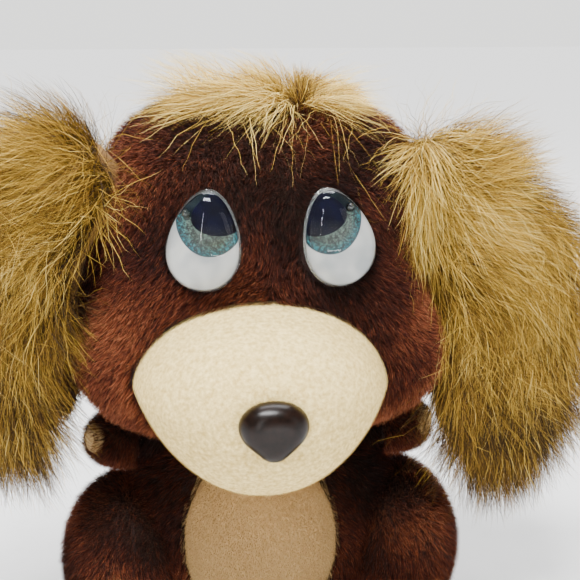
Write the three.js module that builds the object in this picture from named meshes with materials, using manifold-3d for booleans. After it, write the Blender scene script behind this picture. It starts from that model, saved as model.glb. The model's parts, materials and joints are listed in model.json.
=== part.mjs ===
// A sitting plush puppy with long-haired ears and a sound and motion unit inside.
// Millimetres, +Z up, the face looks along -Y, and the origin is on the seat's underside, on the neck's axis.
import * as THREE from "three";
import { mergeVertices } from "three/addons/utils/BufferGeometryUtils.js";
import Module from "manifold-3d";

const wasm = await Module();
wasm.setup();

// ---------------------------------------------------------------- driving dimensions
const GAP = 0.3; // between pieces that touch
const PILE = 9; // thickness of the plush cloth with its pile
const LOOSE = 0.6; // round a fastener in cloth or filling
const FAR = 300; // well outside the puppy, for the boxes that cut
const SIDES = { left: -1, right: 1 }; // left and right as seen from in front

const HEAD = { centre: [0, 0, 274], x: 102, y: 90, up: 98, down: 122, power: 2.5, jowl: 1.2 };
const CHEEK = { swell: 0.29, z: -76, spread: 46 };
const HEAD_BASE = -111; // where the head is cut off flat above the shoulders
const NECK_HOLE_R = 31;
const MUZZLE = {
  x: -6, y: -68, z: -65, halfWidth: 75, front: 82, back: 34, up: 50, down: 66, power: 2.2, chin: 0.25,
  brow: 0.15,
};
const MUZZLE_SEAM_Y = -70; // the felt and its former stop here
const FELT = 1.6; // the muzzle's felt cover
const FORMER_WALL = 2; // the moulded shell under the felt

const EYE = { x: 37, z: 21, halfWidth: 20, halfHeight: 28, narrow: 0.2, dome: 11, plate: 2.2, print: 0.8 };
const EYE_TILT = { left: 7, right: 16 }; // sewn on a little unevenly
const EYE_SHANK = { radius: 3, length: 13, washerZ: -9.5 };
const NOSE = { x: MUZZLE.x, z: -66, size: 1.12, dome: 11, shankRadius: 3, shankLength: 16, washerAt: 8 };
const NOSE_HALF_OUTLINE = [
  [0, 15], [8.5, 13.4], [14.6, 8.6], [16.6, 2.6], [14.6, -3.6], [9, -9.6], [3.2, -14.2],
];
const WASHER = { radius: 9, thick: 1.6, bore: 3.3 };

// The ear's outline in the X-Z plane, from the top of its seam round to the bottom of its seam.
const EAR_OUTLINE = [
  [88, 66], [122, 80], [166, 66], [204, 14], [218, -60], [208, -122],
  [172, -146], [138, -136], [125, -100], [120, -50], [106, -4], [90, 24],
];
// The left ear's long fur is fluffed up, and the right ear's hangs lower.
const EAR_STRETCH = { left: { up: 1.25, down: 1 }, right: { up: 1, down: 1.24 } };
const EAR_FUR_Y = [-60, -30];
const EAR_LINING_Y = [-30 + GAP, -21];
const TUFT = { halfWidth: 70, y: [-54, 8], rise: 8, fromZ: 62 };

// Radius and height of the torso's outline, before it is flattened front to back.
const TORSO_PROFILE = [
  [60, 2.5], [86, 14], [100, 44], [104, 76], [100, 104], [88, 128], [66, 148], [36, 160],
];
const TORSO = { depth: 0.66, y: 2, midZ: 85 };
const NECK_OPENING = 26; // in the top of the torso's cloth
const BELLY = { halfWidth: 50, halfHeight: 66, z: 82, recess: 4 };
const SEAT = { halfWidth: 52, thick: 2.2 };

const ARM = { rootX: 84, z: 139, radius: 18, sweep: 25, reach: 22, tip: 12, forward: 32, lift: 14 };
const PAW_PAD = { radius: 12, thick: 3 };
const PAW_SWITCH = { radius: 8, length: 9, plungerRadius: 3.5, plungerLength: 5, travel: 1.2 };
const SHOULDER = { discRadius: 14, disc: 2.4, shaftRadius: 3, shaftEnd: 49, capRadius: 5.5, cap: 2 };
const THIGH = { x: 94, y: -10, z: 57, rx: 44, ry: 60, rz: 56 };
const SHIN = { from: [96, -40], to: [102, -100], z: 28.5, radius: 29, footY: -122 };
const SOLE = { radius: 22, thick: 3 };
const TAIL = { from: [60, 15], to: [104, 20], radius: 12 };

const CASE = { halfWidth: 36, front: -26, split: 10, back: 38, bottom: 34, top: 132, wall: 2 };
const BAY = { halfWidth: 33, back: 60, top: 100, wall: 3 };
const BEZEL = { halfWidth: 36, y: [60.3, 66], z: [32, 112], windowHalf: 32, windowZ: [36, 101] };
const DOOR = { y: [61, 64], slack: 0.4 };
const DOOR_RIBS = { count: 4, pitch: 4, above: 10, halfLength: 12, halfWidth: 0.8, rise: 0.8 };
const DOOR_SCREW = {
  below: 6, shank: 1.6, head: 3.2, headHigh: 1.6, hole: 2, counterbore: 3.6, slot: 2.2, blade: 0.5,
};
const SWITCH = { z: [104.6, 109], slotHalf: 5.5, knob: 6, y: [56, 68] };
const CELL = { radius: 7.2, length: 50.5, button: 2.6, pitch: 16, y: 49, z: 45 };
const CONTACT = { depth: 5, thick: 0.8, springWide: 5, springNarrow: 3 };
const SPEAKER = { radius: 22, z: 66, y: -23.5, depth: 14 };
const GRILLE = { pitch: 6, halfLength: 14, halfWidth: 1.2 }; // the slots in front of the speaker
const BOARD = { x: [-30, 30], y: [-3, -1.4], z: [38, 94] };
const CHIP = { x: [-8, 8], z: [52, 68], rise: 2.8 };
const CAPACITOR = { x: -18, z: 80, radius: 5, rise: 4 };
const PLUG = { x: [14, 26], z: [76, 84], rise: 4.4 };
const MODULE = 1.2; // of every gear
const TEETH = { neck: 36, idlerSmall: 9, idlerLarge: 22, motor: 8 };
const IDLER_CENTRES = (MODULE * (TEETH.neck + TEETH.idlerSmall)) / 2;
const IDLER_X = 18;
const IDLER = { x: IDLER_X, y: Math.sqrt(IDLER_CENTRES ** 2 - IDLER_X ** 2), bore: 1.8, axle: 1.5 };
const MOTOR = { radius: 10, z: [72, 97.7], shaft: 1, shaftTop: 109, deckHole: 3.5 };
const DECK_Z = [98, 100];
const AXLE_Z = [96, 126];
const GEAR_Z = { low: [102, 107], high: [111, 117] };
const SHAFT = { radius: 6, bore: 3.5, bottom: 105, flangeRadius: 30, flangeZ: [186, 189] };
const BUSH = { radius: 9, lip: 12, lipThick: 2, depth: 5 };

// ---------------------------------------------------------------- materials
const cloth = (colour) => new THREE.MeshStandardMaterial({ color: colour, roughness: 0.95, metalness: 0 });
const plastic = (colour, roughness) =>
  new THREE.MeshStandardMaterial({ color: colour, roughness, metalness: 0 });
const metal = (colour) => new THREE.MeshStandardMaterial({ color: colour, roughness: 0.35, metalness: 1 });
const MATERIALS = {
  brownPlush: cloth(0x5a2716),
  goldFur: cloth(0xb08a3e),
  felt: cloth(0xe6d8b8),
  tanVelour: cloth(0xb0956a),
  stuffing: cloth(0xf2efe8),
  nose: plastic(0x2c211d, 0.3),
  clear: new THREE.MeshStandardMaterial({
    color: 0xffffff,
    roughness: 0.05,
    transparent: true,
    opacity: 0.3,
  }),
  white: plastic(0xe8e8e4, 0.4),
  iris: plastic(0x5fa9a6, 0.3),
  casing: plastic(0xd9d6cc, 0.5),
  black: plastic(0x26262a, 0.5),
  gear: plastic(0xefece0, 0.5),
  board: plastic(0x2c6b3a, 0.6),
  steel: metal(0xb9bcc0),
  cell: metal(0x8a6b2e),
};

// ---------------------------------------------------------------- solids
// A three.js geometry as a solid, with shared vertices merged.
function solid(geometry) {
  const bare = geometry.clone();
  bare.deleteAttribute("normal");
  bare.deleteAttribute("uv");
  const g = mergeVertices(bare, 1e-4);
  return new wasm.Manifold(
    new wasm.Mesh({
      numProp: 3,
      vertProperties: new Float32Array(g.getAttribute("position").array),
      triVerts: new Uint32Array(g.index.array),
    }),
  );
}

function meshOf(name, body, material) {
  const made = body.getMesh();
  const g = new THREE.BufferGeometry();
  g.setAttribute("position", new THREE.BufferAttribute(new Float32Array(made.vertProperties), 3));
  g.setIndex(new THREE.BufferAttribute(new Uint32Array(made.triVerts), 1));
  g.computeVertexNormals();
  const mesh = new THREE.Mesh(g, material);
  mesh.name = name;
  return mesh;
}

const group = (position = [0, 0, 0]) => {
  const made = new THREE.Group();
  made.position.set(...position);
  return made;
};

function box([x0, x1], [y0, y1], [z0, z1]) {
  const g = new THREE.BoxGeometry(x1 - x0, y1 - y0, z1 - z0);
  return solid(g.translate((x0 + x1) / 2, (y0 + y1) / 2, (z0 + z1) / 2));
}

// A round bar along one axis, from start to end, centred at the two other coordinates given in X, Y, Z order.
function rod(axis, radius, [start, end], [a, b] = [0, 0], sides = 16) {
  const g = new THREE.CylinderGeometry(radius, radius, Math.abs(end - start), sides);
  const mid = (start + end) / 2;
  if (axis === "x") return solid(g.rotateZ(-Math.PI / 2).translate(mid, a, b));
  if (axis === "y") return solid(g.translate(a, mid, b));
  return solid(g.rotateX(Math.PI / 2).translate(a, b, mid));
}

// A closed surface made by moving each point of a unit sphere, whose poles are on Z.
function blob(point, around, up) {
  const g = new THREE.SphereGeometry(1, around, up).rotateX(Math.PI / 2);
  const p = g.getAttribute("position");
  const d = new THREE.Vector3();
  for (let i = 0; i < p.count; i++) {
    d.fromBufferAttribute(p, i).normalize();
    p.setXYZ(i, ...point(d));
  }
  return solid(g);
}

function capsule(from, to, radius, sides = 14, rings = 3) {
  const a = new THREE.Vector3(...from);
  const b = new THREE.Vector3(...to);
  const axis = b.clone().sub(a);
  const g = new THREE.CapsuleGeometry(radius, axis.length(), rings, sides);
  const turn = new THREE.Quaternion().setFromUnitVectors(new THREE.Vector3(0, 1, 0), axis.normalize());
  g.applyQuaternion(turn);
  const mid = a.add(b).multiplyScalar(0.5);
  return solid(g.translate(mid.x, mid.y, mid.z));
}

// A profile of [radius, height] points turned about Z.
function turned(profile, sides = 20) {
  const points = profile.map(([r, z]) => new THREE.Vector2(r, z));
  return solid(new THREE.LatheGeometry(points, sides).rotateX(Math.PI / 2));
}

// A smooth closed outline through points, pushed out along Z or, with alongY, along Y.
function outline(points, [start, end], divisions, alongY = false) {
  const curve = new THREE.CatmullRomCurve3(points.map(([x, y]) => new THREE.Vector3(x, y, 0)), true);
  const rim = curve.getPoints(divisions).slice(0, -1);
  const shape = new THREE.Shape(rim.map((p) => new THREE.Vector2(p.x, p.y)));
  const g = new THREE.ExtrudeGeometry(shape, { depth: end - start, bevelEnabled: false });
  if (!alongY) return solid(g.translate(0, 0, start));
  return solid(g.rotateX(Math.PI / 2).translate(0, end, 0));
}

// How far a direction goes to meet a unit superellipsoid.
const reach = (d, power) =>
  (Math.abs(d.x) ** power + Math.abs(d.y) ** power + Math.abs(d.z) ** power) ** (-1 / power);

// ---------------------------------------------------------------- the head's shapes
function headBody(grow = 0, around = 20, up = 12) {
  return blob((d) => {
    const low = THREE.MathUtils.clamp(-1.6 * d.z, 0, 1);
    const r = reach(d, HEAD.power + HEAD.jowl * low); // squarer low down, for the full jowls
    const z = d.z * r * ((d.z > 0 ? HEAD.up : HEAD.down) + grow);
    const wide = 1 + CHEEK.swell * Math.exp(-(((z - CHEEK.z) / CHEEK.spread) ** 2));
    return [d.x * r * (HEAD.x + grow) * wide, d.y * r * (HEAD.y + grow), z];
  }, around, up);
}

function muzzleBody(grow = 0, around = 20, up = 10) {
  return blob((d) => {
    const r = reach(d, MUZZLE.power);
    const low = Math.max(0, -d.z * r);
    const top = Math.max(0, d.z * r);
    const narrow = 1 - MUZZLE.chin * low - MUZZLE.brow * top;
    const deep = (d.y < 0 ? MUZZLE.front : MUZZLE.back) + grow;
    const high = (d.z > 0 ? MUZZLE.up : MUZZLE.down) + grow;
    const wide = (MUZZLE.halfWidth + grow) * narrow;
    return [MUZZLE.x + d.x * r * wide, MUZZLE.y + d.y * r * deep, MUZZLE.z + d.z * r * high];
  }, around, up);
}

// Where an eye sits: a group on the face with its Z axis out of the face and its Y axis up the eye.
function eyeFrame(name) {
  const side = SIDES[name];
  const x = EYE.x / HEAD.x;
  const z = EYE.z / HEAD.up;
  const y = (1 - x ** HEAD.power - z ** HEAD.power) ** (1 / HEAD.power);
  const out = new THREE.Vector3(
    (side * x ** (HEAD.power - 1)) / HEAD.x,
    -(y ** (HEAD.power - 1)) / HEAD.y,
    z ** (HEAD.power - 1) / HEAD.up,
  ).normalize();
  const across = new THREE.Vector3(0, 0, 1).cross(out).normalize();
  const up = out.clone().cross(across);
  const frame = group([side * EYE.x, -HEAD.y * y + PILE - 4, EYE.z]);
  frame.quaternion.setFromRotationMatrix(new THREE.Matrix4().makeBasis(across, up, out));
  frame.rotateZ(THREE.MathUtils.degToRad(side * EYE_TILT[name]));
  frame.updateMatrix();
  return frame;
}

const egg = (angle, grow = 0) => [
  (EYE.halfWidth + grow) * Math.cos(angle) * (1 - EYE.narrow * Math.sin(angle)),
  (EYE.halfHeight + grow) * Math.sin(angle),
];

function eggPlate([start, end], grow = 0, count = 16) {
  const shape = new THREE.Shape(
    Array.from({ length: count }, (_, i) => new THREE.Vector2(...egg((2 * Math.PI * i) / count, grow))),
  );
  const g = new THREE.ExtrudeGeometry(shape, { depth: end - start, bevelEnabled: false });
  return solid(g.translate(0, 0, start));
}

// The clear dome: an egg-shaped foot and a domed top, hollowed under for the printed iris.
function eyeLens() {
  const bottom = EYE.plate + GAP;
  const dome = blob((d) => {
    const flat = Math.hypot(d.x, d.y);
    const [x, y] = egg(Math.atan2(d.y, d.x));
    return [x * flat, y * flat, bottom + 1 + (d.z > 0 ? EYE.dome * d.z : 0)];
  }, 16, 8);
  const foot = eggPlate([bottom, bottom + 1.2]);
  return dome.add(foot).subtract(eggPlate([bottom - 1, bottom + EYE.print + GAP], -2));
}

function eyeParts(name) {
  const frame = eyeFrame(name);
  const plate = eggPlate([0, EYE.plate]);
  const shank = rod("z", EYE_SHANK.radius, [-EYE_SHANK.length, 0.5], [0, 0], 10);
  const washer = rod("z", WASHER.radius, [EYE_SHANK.washerZ, EYE_SHANK.washerZ + WASHER.thick]);
  const print = eggPlate([EYE.plate + GAP, EYE.plate + GAP + EYE.print], -3);
  frame.add(
    meshOf(`eye_back_${name}`, plate.add(shank), MATERIALS.white),
    meshOf(`eye_print_${name}`, print, MATERIALS.iris),
    meshOf(`eye_lens_${name}`, eyeLens(), MATERIALS.clear),
    meshOf(`eye_washer_${name}`, washer.subtract(rod("z", WASHER.bore, [-20, 0])), MATERIALS.casing),
  );
  return frame;
}

// What the head's cloth and stuffing give up to one eye: the seat and shank hole, and the washer's pocket.
function eyeCut(name, forStuffing) {
  const hole = rod("z", EYE_SHANK.radius + 0.5, [-EYE_SHANK.length - 1, 5], [0, 0], 10);
  const seat = eggPlate([-GAP, 20], LOOSE);
  const pocket = rod("z", WASHER.radius + LOOSE, [-EYE_SHANK.length - 1, 5]);
  const frame = eyeFrame(name);
  return (forStuffing ? pocket : hole.add(seat)).transform(frame.matrix.elements);
}

function nose() {
  const mirrored = NOSE_HALF_OUTLINE.slice(1).reverse().map(([x, z]) => [-x, z]);
  const points = [...NOSE_HALF_OUTLINE, ...mirrored];
  const tip = MUZZLE.y - MUZZLE.front;
  const curve = new THREE.CatmullRomCurve3(points.map(([x, z]) => new THREE.Vector3(x, z, 0)), true);
  const count = 24;
  const rim = curve.getPoints(count);
  const cushion = blob((d) => {
    const turn = ((Math.atan2(d.x, d.z) / (2 * Math.PI) + 1) % 1) * count;
    const low = Math.floor(turn) % count;
    const at = rim[low].clone().lerp(rim[(low + 1) % count], turn - Math.floor(turn));
    const flat = Math.hypot(d.x, d.z);
    const wide = NOSE.size * flat;
    return [NOSE.x + at.x * wide, tip + 3 + d.y * (NOSE.dome + 1), NOSE.z + at.y * wide];
  }, count, 10);
  const shank = rod("y", NOSE.shankRadius, [tip - 3, tip + NOSE.shankLength], [NOSE.x, NOSE.z], 16);
  return cushion.subtract(muzzleBody(GAP)).add(shank);
}

function nosePieces() {
  const tip = MUZZLE.y - MUZZLE.front;
  const washerFront = tip + NOSE.washerAt;
  const washer = rod("y", WASHER.radius, [washerFront, washerFront + WASHER.thick], [NOSE.x, NOSE.z]);
  return [
    meshOf("nose", nose(), MATERIALS.nose),
    meshOf(
      "nose_washer",
      washer.subtract(rod("y", WASHER.bore, [tip, tip + 20], [NOSE.x, NOSE.z])),
      MATERIALS.casing,
    ),
  ];
}

function muzzlePieces() {
  const tip = MUZZLE.y - MUZZLE.front;
  const hole = rod("y", NOSE.shankRadius + GAP, [tip - 5, tip + 20], [NOSE.x, NOSE.z], 16);
  const behind = box([-FAR, FAR], [MUZZLE_SEAM_Y, FAR], [-FAR, FAR]);
  const cover = muzzleBody().subtract(muzzleBody(-FELT));
  const former = muzzleBody(-FELT - GAP).subtract(muzzleBody(-FELT - GAP - FORMER_WALL));
  return [
    meshOf("muzzle_cover", cover.subtract(hole).subtract(behind), MATERIALS.felt),
    meshOf("muzzle_former", former.subtract(hole).subtract(behind), MATERIALS.casing),
  ];
}

function headSkin() {
  const neck = rod("z", NECK_HOLE_R, [-FAR, HEAD_BASE + 50], [0, 0], 20);
  return headBody(0)
    .subtract(headBody(-PILE))
    .subtract(muzzleBody(GAP))
    .subtract(eyeCut("left", false))
    .subtract(eyeCut("right", false))
    .subtract(neck)
    .subtract(box([-FAR, FAR], [-FAR, FAR], [-FAR, HEAD_BASE]));
}

function headStuffing() {
  const tip = MUZZLE.y - MUZZLE.front;
  const core = headBody(-PILE - GAP);
  const snout = muzzleBody(-FELT - 2 * GAP - FORMER_WALL);
  const shell = muzzleBody(GAP).subtract(muzzleBody(-FELT - 2 * GAP - FORMER_WALL));
  const ahead = box([-FAR, FAR], [-FAR, MUZZLE_SEAM_Y + GAP], [-FAR, FAR]);
  const flangeTop = SHAFT.flangeZ[1] - HEAD.centre[2] + GAP;
  return core
    .add(snout)
    .subtract(shell.intersect(ahead))
    .subtract(rod("y", WASHER.radius + LOOSE, [tip, tip + NOSE.shankLength + 1], [NOSE.x, NOSE.z]))
    .subtract(eyeCut("left", true))
    .subtract(eyeCut("right", true))
    .subtract(rod("z", NECK_HOLE_R, [-FAR, flangeTop], [0, 0], 20))
    .subtract(box([-FAR, FAR], [MUZZLE_SEAM_Y, FAR], [-FAR, HEAD_BASE + GAP]));
}

function crownTuft() {
  const strip = box([-TUFT.halfWidth, TUFT.halfWidth], TUFT.y, [TUFT.fromZ, 140]);
  return headBody(TUFT.rise).subtract(headBody(0.6)).intersect(strip);
}

function earPieces(name, side) {
  const { up, down } = EAR_STRETCH[name];
  const points = EAR_OUTLINE.map(([x, z]) => [side * x, z * (z > 0 ? up : down)]);
  const clear = headBody(1);
  const slab = (y) => outline(points, y, 30, true).subtract(clear);
  return [
    meshOf(`ear_fur_${name}`, slab(EAR_FUR_Y), MATERIALS.goldFur),
    meshOf(`ear_lining_${name}`, slab(EAR_LINING_Y), MATERIALS.brownPlush),
  ];
}

function head() {
  const made = group(HEAD.centre);
  made.add(
    meshOf("head_skin", headSkin(), MATERIALS.brownPlush),
    meshOf("head_stuffing", headStuffing(), MATERIALS.stuffing),
    meshOf("crown_tuft", crownTuft(), MATERIALS.goldFur),
    ...muzzlePieces(),
    ...nosePieces(),
  );
  for (const [name, side] of Object.entries(SIDES)) {
    made.add(eyeParts(name), ...earPieces(name, side));
  }
  return made;
}

// ---------------------------------------------------------------- the torso
function torsoBody(grow = 0, sides = 20) {
  const curve = new THREE.SplineCurve(TORSO_PROFILE.map(([r, z]) => new THREE.Vector2(r, z)));
  const taller = 1 + grow / TORSO.midZ;
  const rim = curve.getPoints(10).map((p) => [p.x + grow, TORSO.midZ + (p.y - TORSO.midZ) * taller]);
  const points = [[0, rim[0][1]], ...rim, [0, rim.at(-1)[1]]].map(([r, z]) => new THREE.Vector2(r, z));
  const g = new THREE.LatheGeometry(points, sides).rotateX(Math.PI / 2);
  return solid(g.scale(1, TORSO.depth, 1).translate(0, TORSO.y, 0));
}

function bellyPrism(grow = 0) {
  const shape = new THREE.Shape();
  shape.absellipse(0, 0, BELLY.halfWidth + grow, BELLY.halfHeight + grow, 0, 2 * Math.PI);
  const g = new THREE.ExtrudeGeometry(shape, { depth: 120, bevelEnabled: false, curveSegments: 5 });
  return solid(g.rotateX(Math.PI / 2).translate(0, 0, BELLY.z)); // from y = 0 to y = -120
}

// The unit's pocket in the stuffing, with the bay's way out at the back and the neck's at the top.
function unitPocket() {
  const wide = [-CASE.halfWidth - 0.5, CASE.halfWidth + 0.5];
  return box(wide, [CASE.front - 0.5, CASE.back + 0.5], [CASE.bottom - 0.5, CASE.top + 0.5])
    .add(box(wide, [CASE.back - 1, 120], [BEZEL.z[0] - 0.5, BEZEL.z[1] + 0.5]))
    .add(rod("z", 14, [CASE.top - 2, 200]));
}

const backOpening = () =>
  box([-BEZEL.halfWidth - GAP, BEZEL.halfWidth + GAP], [40, 120], [BEZEL.z[0] - GAP, BEZEL.z[1] + GAP]);

function shoulderCuts(radius, from) {
  const cut = (side) => rod("x", radius, [side * from, side * 120], [0, ARM.z]);
  return cut(-1).add(cut(1));
}

function torsoPieces() {
  const inner = torsoBody(-PILE);
  const skin = torsoBody(0)
    .subtract(inner)
    .subtract(bellyPrism(GAP))
    .subtract(rod("z", NECK_OPENING, [TORSO_PROFILE[5][1], FAR]))
    .subtract(backOpening())
    .subtract(shoulderCuts(ARM.sweep, ARM.rootX - GAP))
    .subtract(shoulderCuts(SHOULDER.shaftRadius + LOOSE, 20));
  const stuffing = torsoBody(-PILE - GAP)
    .subtract(unitPocket())
    .subtract(shoulderCuts(SHOULDER.capRadius + 1, SHOULDER.shaftEnd - SHOULDER.cap - 1));
  const belly = torsoBody(-BELLY.recess).subtract(inner).intersect(bellyPrism());
  const seat = new THREE.CylinderGeometry(SEAT.halfWidth, SEAT.halfWidth, SEAT.thick, 24)
    .rotateX(Math.PI / 2)
    .scale(1, TORSO.depth, 1)
    .translate(0, TORSO.y, SEAT.thick / 2);
  const tail = capsule([0, ...TAIL.from], [0, ...TAIL.to], TAIL.radius).subtract(torsoBody(0.5));
  return [
    meshOf("torso_skin", skin, MATERIALS.brownPlush),
    meshOf("torso_stuffing", stuffing, MATERIALS.stuffing),
    meshOf("belly_panel", belly, MATERIALS.tanVelour),
    meshOf("seat_panel", solid(seat), MATERIALS.brownPlush),
    meshOf("tail", tail, MATERIALS.brownPlush),
  ];
}

function legPieces(name, side) {
  const thigh = blob((d) => [
    side * THIGH.x + d.x * THIGH.rx,
    THIGH.y + d.y * THIGH.ry,
    THIGH.z + d.z * THIGH.rz,
  ], 18, 10);
  const [x0, y0] = SHIN.from;
  const [x1, y1] = SHIN.to;
  const shin = capsule([side * x0, y0, SHIN.z], [side * x1, y1, SHIN.z], SHIN.radius);
  const leg = thigh
    .add(shin)
    .subtract(torsoBody(LOOSE))
    .subtract(box([-FAR, FAR], [-FAR, SHIN.footY], [-FAR, FAR]))
    .subtract(box([-FAR, FAR], [-FAR, FAR], [-FAR, 0]))
    .subtract(box([-70, 70], [-70, 70], [-1, SEAT.thick + GAP]));
  const soleBack = SHIN.footY - GAP;
  const sole = rod("y", SOLE.radius, [soleBack - SOLE.thick, soleBack], [side * x1, SHIN.z + 1]);
  return [
    meshOf(`leg_${name}`, leg, MATERIALS.brownPlush),
    meshOf(`foot_sole_${name}`, sole, MATERIALS.tanVelour),
  ];
}

// An arm and what rides in it. Its frame's Z axis runs out along the arm from the shoulder.
function armPieces(name, side) {
  const frame = group([side * ARM.rootX, 0, ARM.z]);
  const lean = THREE.MathUtils.degToRad(ARM.forward);
  const lift = THREE.MathUtils.degToRad(ARM.lift);
  const along = new THREE.Vector3(side * Math.cos(lean), -Math.sin(lean), Math.tan(lift)).normalize();
  frame.quaternion.setFromUnitVectors(new THREE.Vector3(0, 0, 1), along);
  frame.updateMatrix();
  const toLocal = frame.matrix.clone().invert().elements;
  const tip = ARM.reach + ARM.tip;
  const atRoot = new THREE.Matrix4().makeRotationZ(side > 0 ? 0 : Math.PI);
  atRoot.setPosition(side * ARM.rootX, 0, ARM.z);
  const inboard = box([-FAR, 0], [-FAR, FAR], [-FAR, FAR]).transform(atRoot.elements);
  const discPocket = rod("x", SHOULDER.discRadius + 0.4, [
    side * (ARM.rootX - 1),
    side * (ARM.rootX + SHOULDER.disc + 2 * GAP),
  ], [0, ARM.z]);
  const switchDepth = PAW_SWITCH.length + PAW_SWITCH.plungerLength + 1;
  const arm = capsule([0, 0, 0], [0, 0, ARM.reach], ARM.radius)
    .subtract(inboard.transform(toLocal))
    .subtract(discPocket.transform(toLocal))
    .subtract(box([-FAR, FAR], [-FAR, FAR], [tip, tip + FAR]))
    .subtract(rod("z", PAW_SWITCH.radius + GAP, [tip - switchDepth, tip + 1]));
  const switchTop = tip - PAW_SWITCH.plungerLength;
  const housing = rod("z", PAW_SWITCH.radius, [tip - switchDepth + GAP, switchTop]).subtract(
    rod("z", PAW_SWITCH.plungerRadius + GAP, [switchTop - 4, switchTop + 1]),
  );
  const plunger = rod("z", PAW_SWITCH.plungerRadius, [switchTop - 4 + PAW_SWITCH.travel + GAP, tip - GAP]);
  const pad = rod("z", PAW_PAD.radius, [tip + GAP, tip + GAP + PAW_PAD.thick]);
  frame.add(
    meshOf(`arm_${name}`, arm, MATERIALS.brownPlush),
    meshOf(`paw_pad_${name}`, pad, MATERIALS.tanVelour),
    meshOf(`paw_switch_${name}`, housing, MATERIALS.black),
    meshOf(`paw_plunger_${name}`, plunger, MATERIALS.gear),
  );
  const at = [0, ARM.z];
  const { discRadius, shaftRadius, shaftEnd, capRadius, cap } = SHOULDER;
  const disc = [side * (ARM.rootX + GAP), side * (ARM.rootX + GAP + SHOULDER.disc)];
  const pin = rod("x", discRadius, disc, at)
    .add(rod("x", shaftRadius, [side * shaftEnd, side * (ARM.rootX + 1)], at))
    .add(rod("x", capRadius, [side * (shaftEnd - cap), side * shaftEnd], at));
  return [frame, meshOf(`shoulder_pin_${name}`, pin, MATERIALS.casing)];
}

// ---------------------------------------------------------------- the sound and motion unit
function casePieces() {
  const { halfWidth: w, front, split, back, bottom, top, wall } = CASE;
  const inside = box([-w + wall, w - wall], [front + wall, back - wall], [bottom + wall, top - wall]);
  const neckHole = rod("z", BUSH.radius + GAP, [top - 5, top + 5]);
  let shell = box([-w, w], [front, split], [bottom, top]).subtract(inside).subtract(neckHole);
  for (let i = -2; i <= 2; i++) {
    const z = SPEAKER.z + i * GRILLE.pitch;
    const slot = [z - GRILLE.halfWidth, z + GRILLE.halfWidth];
    shell = shell.subtract(box([-GRILLE.halfLength, GRILLE.halfLength], [front - 1, front + wall + 1], slot));
  }
  const rear = box([-w, w], [split + GAP, back], [bottom, top])
    .add(box([-BAY.halfWidth, BAY.halfWidth], [back - 1, BAY.back], [bottom, BAY.top]))
    .subtract(inside)
    .subtract(neckHole)
    .subtract(box(
      [-BAY.halfWidth + BAY.wall, BAY.halfWidth - BAY.wall],
      [back, BAY.back + 1],
      [bottom + BAY.wall, BAY.top - BAY.wall],
    ));
  return [meshOf("case_front", shell, MATERIALS.casing), meshOf("case_rear", rear, MATERIALS.casing)];
}

function bayPieces() {
  const { halfWidth, y, z, windowHalf, windowZ } = BEZEL;
  const bezel = box([-halfWidth, halfWidth], y, z)
    .subtract(box([-windowHalf, windowHalf], [50, 80], windowZ))
    .subtract(box([-SWITCH.slotHalf, SWITCH.slotHalf], [50, 80], [SWITCH.z[0] - GAP, SWITCH.z[1] + GAP]));
  const half = windowHalf - DOOR.slack;
  let door = box([-half, half], DOOR.y, [windowZ[0] + DOOR.slack, windowZ[1] - DOOR.slack]);
  const [inner, outer] = DOOR.y;
  const { below, shank, head: headRadius, headHigh, hole, counterbore, slot, blade } = DOOR_SCREW;
  const at = [0, windowZ[1] - below];
  const seat = outer + 0.2 - headHigh;
  door = door
    .subtract(rod("y", hole, [0, FAR], at))
    .subtract(rod("y", counterbore, [seat - 0.4, FAR], at));
  for (let i = 0; i < DOOR_RIBS.count; i++) {
    const z = windowZ[0] + DOOR_RIBS.above + i * DOOR_RIBS.pitch;
    door = door.add(box(
      [-DOOR_RIBS.halfLength, DOOR_RIBS.halfLength],
      [outer - 0.5, outer + DOOR_RIBS.rise],
      [z - DOOR_RIBS.halfWidth, z + DOOR_RIBS.halfWidth],
    ));
  }
  const cross = [outer - 0.5, FAR];
  const screw = rod("y", shank, [inner - GAP, seat + 0.4], at, 12)
    .add(rod("y", headRadius, [seat, seat + headHigh], at))
    .subtract(box([-slot, slot], cross, [at[1] - blade, at[1] + blade]))
    .subtract(box([-blade, blade], cross, [at[1] - slot, at[1] + slot]));
  const made = [
    meshOf("bay_bezel", bezel, MATERIALS.casing),
    meshOf("battery_door", door, MATERIALS.casing),
    meshOf("door_screw", screw, MATERIALS.steel),
  ];
  for (let i = 0; i < 3; i++) {
    const axis = [(i - 1) * CELL.pitch, CELL.y];
    const cell = rod("z", CELL.radius, [CELL.z, CELL.z + CELL.length - 1], axis)
      .add(rod("z", CELL.button, [CELL.z, CELL.z + CELL.length], axis, 12));
    made.push(meshOf(`battery_cell_${i + 1}`, cell, MATERIALS.cell));
  }
  const inside = BAY.halfWidth - BAY.wall - GAP;
  const strip = (z) =>
    box([-inside, inside], [CELL.y - CONTACT.depth, CELL.y + CONTACT.depth], [z, z + CONTACT.thick]);
  const lowZ = CASE.bottom + BAY.wall + GAP;
  const springFrom = lowZ + CONTACT.thick / 2;
  const springTo = CELL.z - GAP;
  let low = strip(lowZ);
  for (let i = -1; i <= 1; i++) {
    const { springNarrow, springWide } = CONTACT;
    const spring = new THREE.CylinderGeometry(springNarrow, springWide, springTo - springFrom, 12);
    spring.rotateX(Math.PI / 2).translate(i * CELL.pitch, CELL.y, (springFrom + springTo) / 2);
    low = low.add(solid(spring));
  }
  made.push(
    meshOf("battery_contact_low", low, MATERIALS.steel),
    meshOf("battery_contact_high", strip(BAY.top - BAY.wall - GAP - CONTACT.thick), MATERIALS.steel),
  );
  return made;
}

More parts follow.
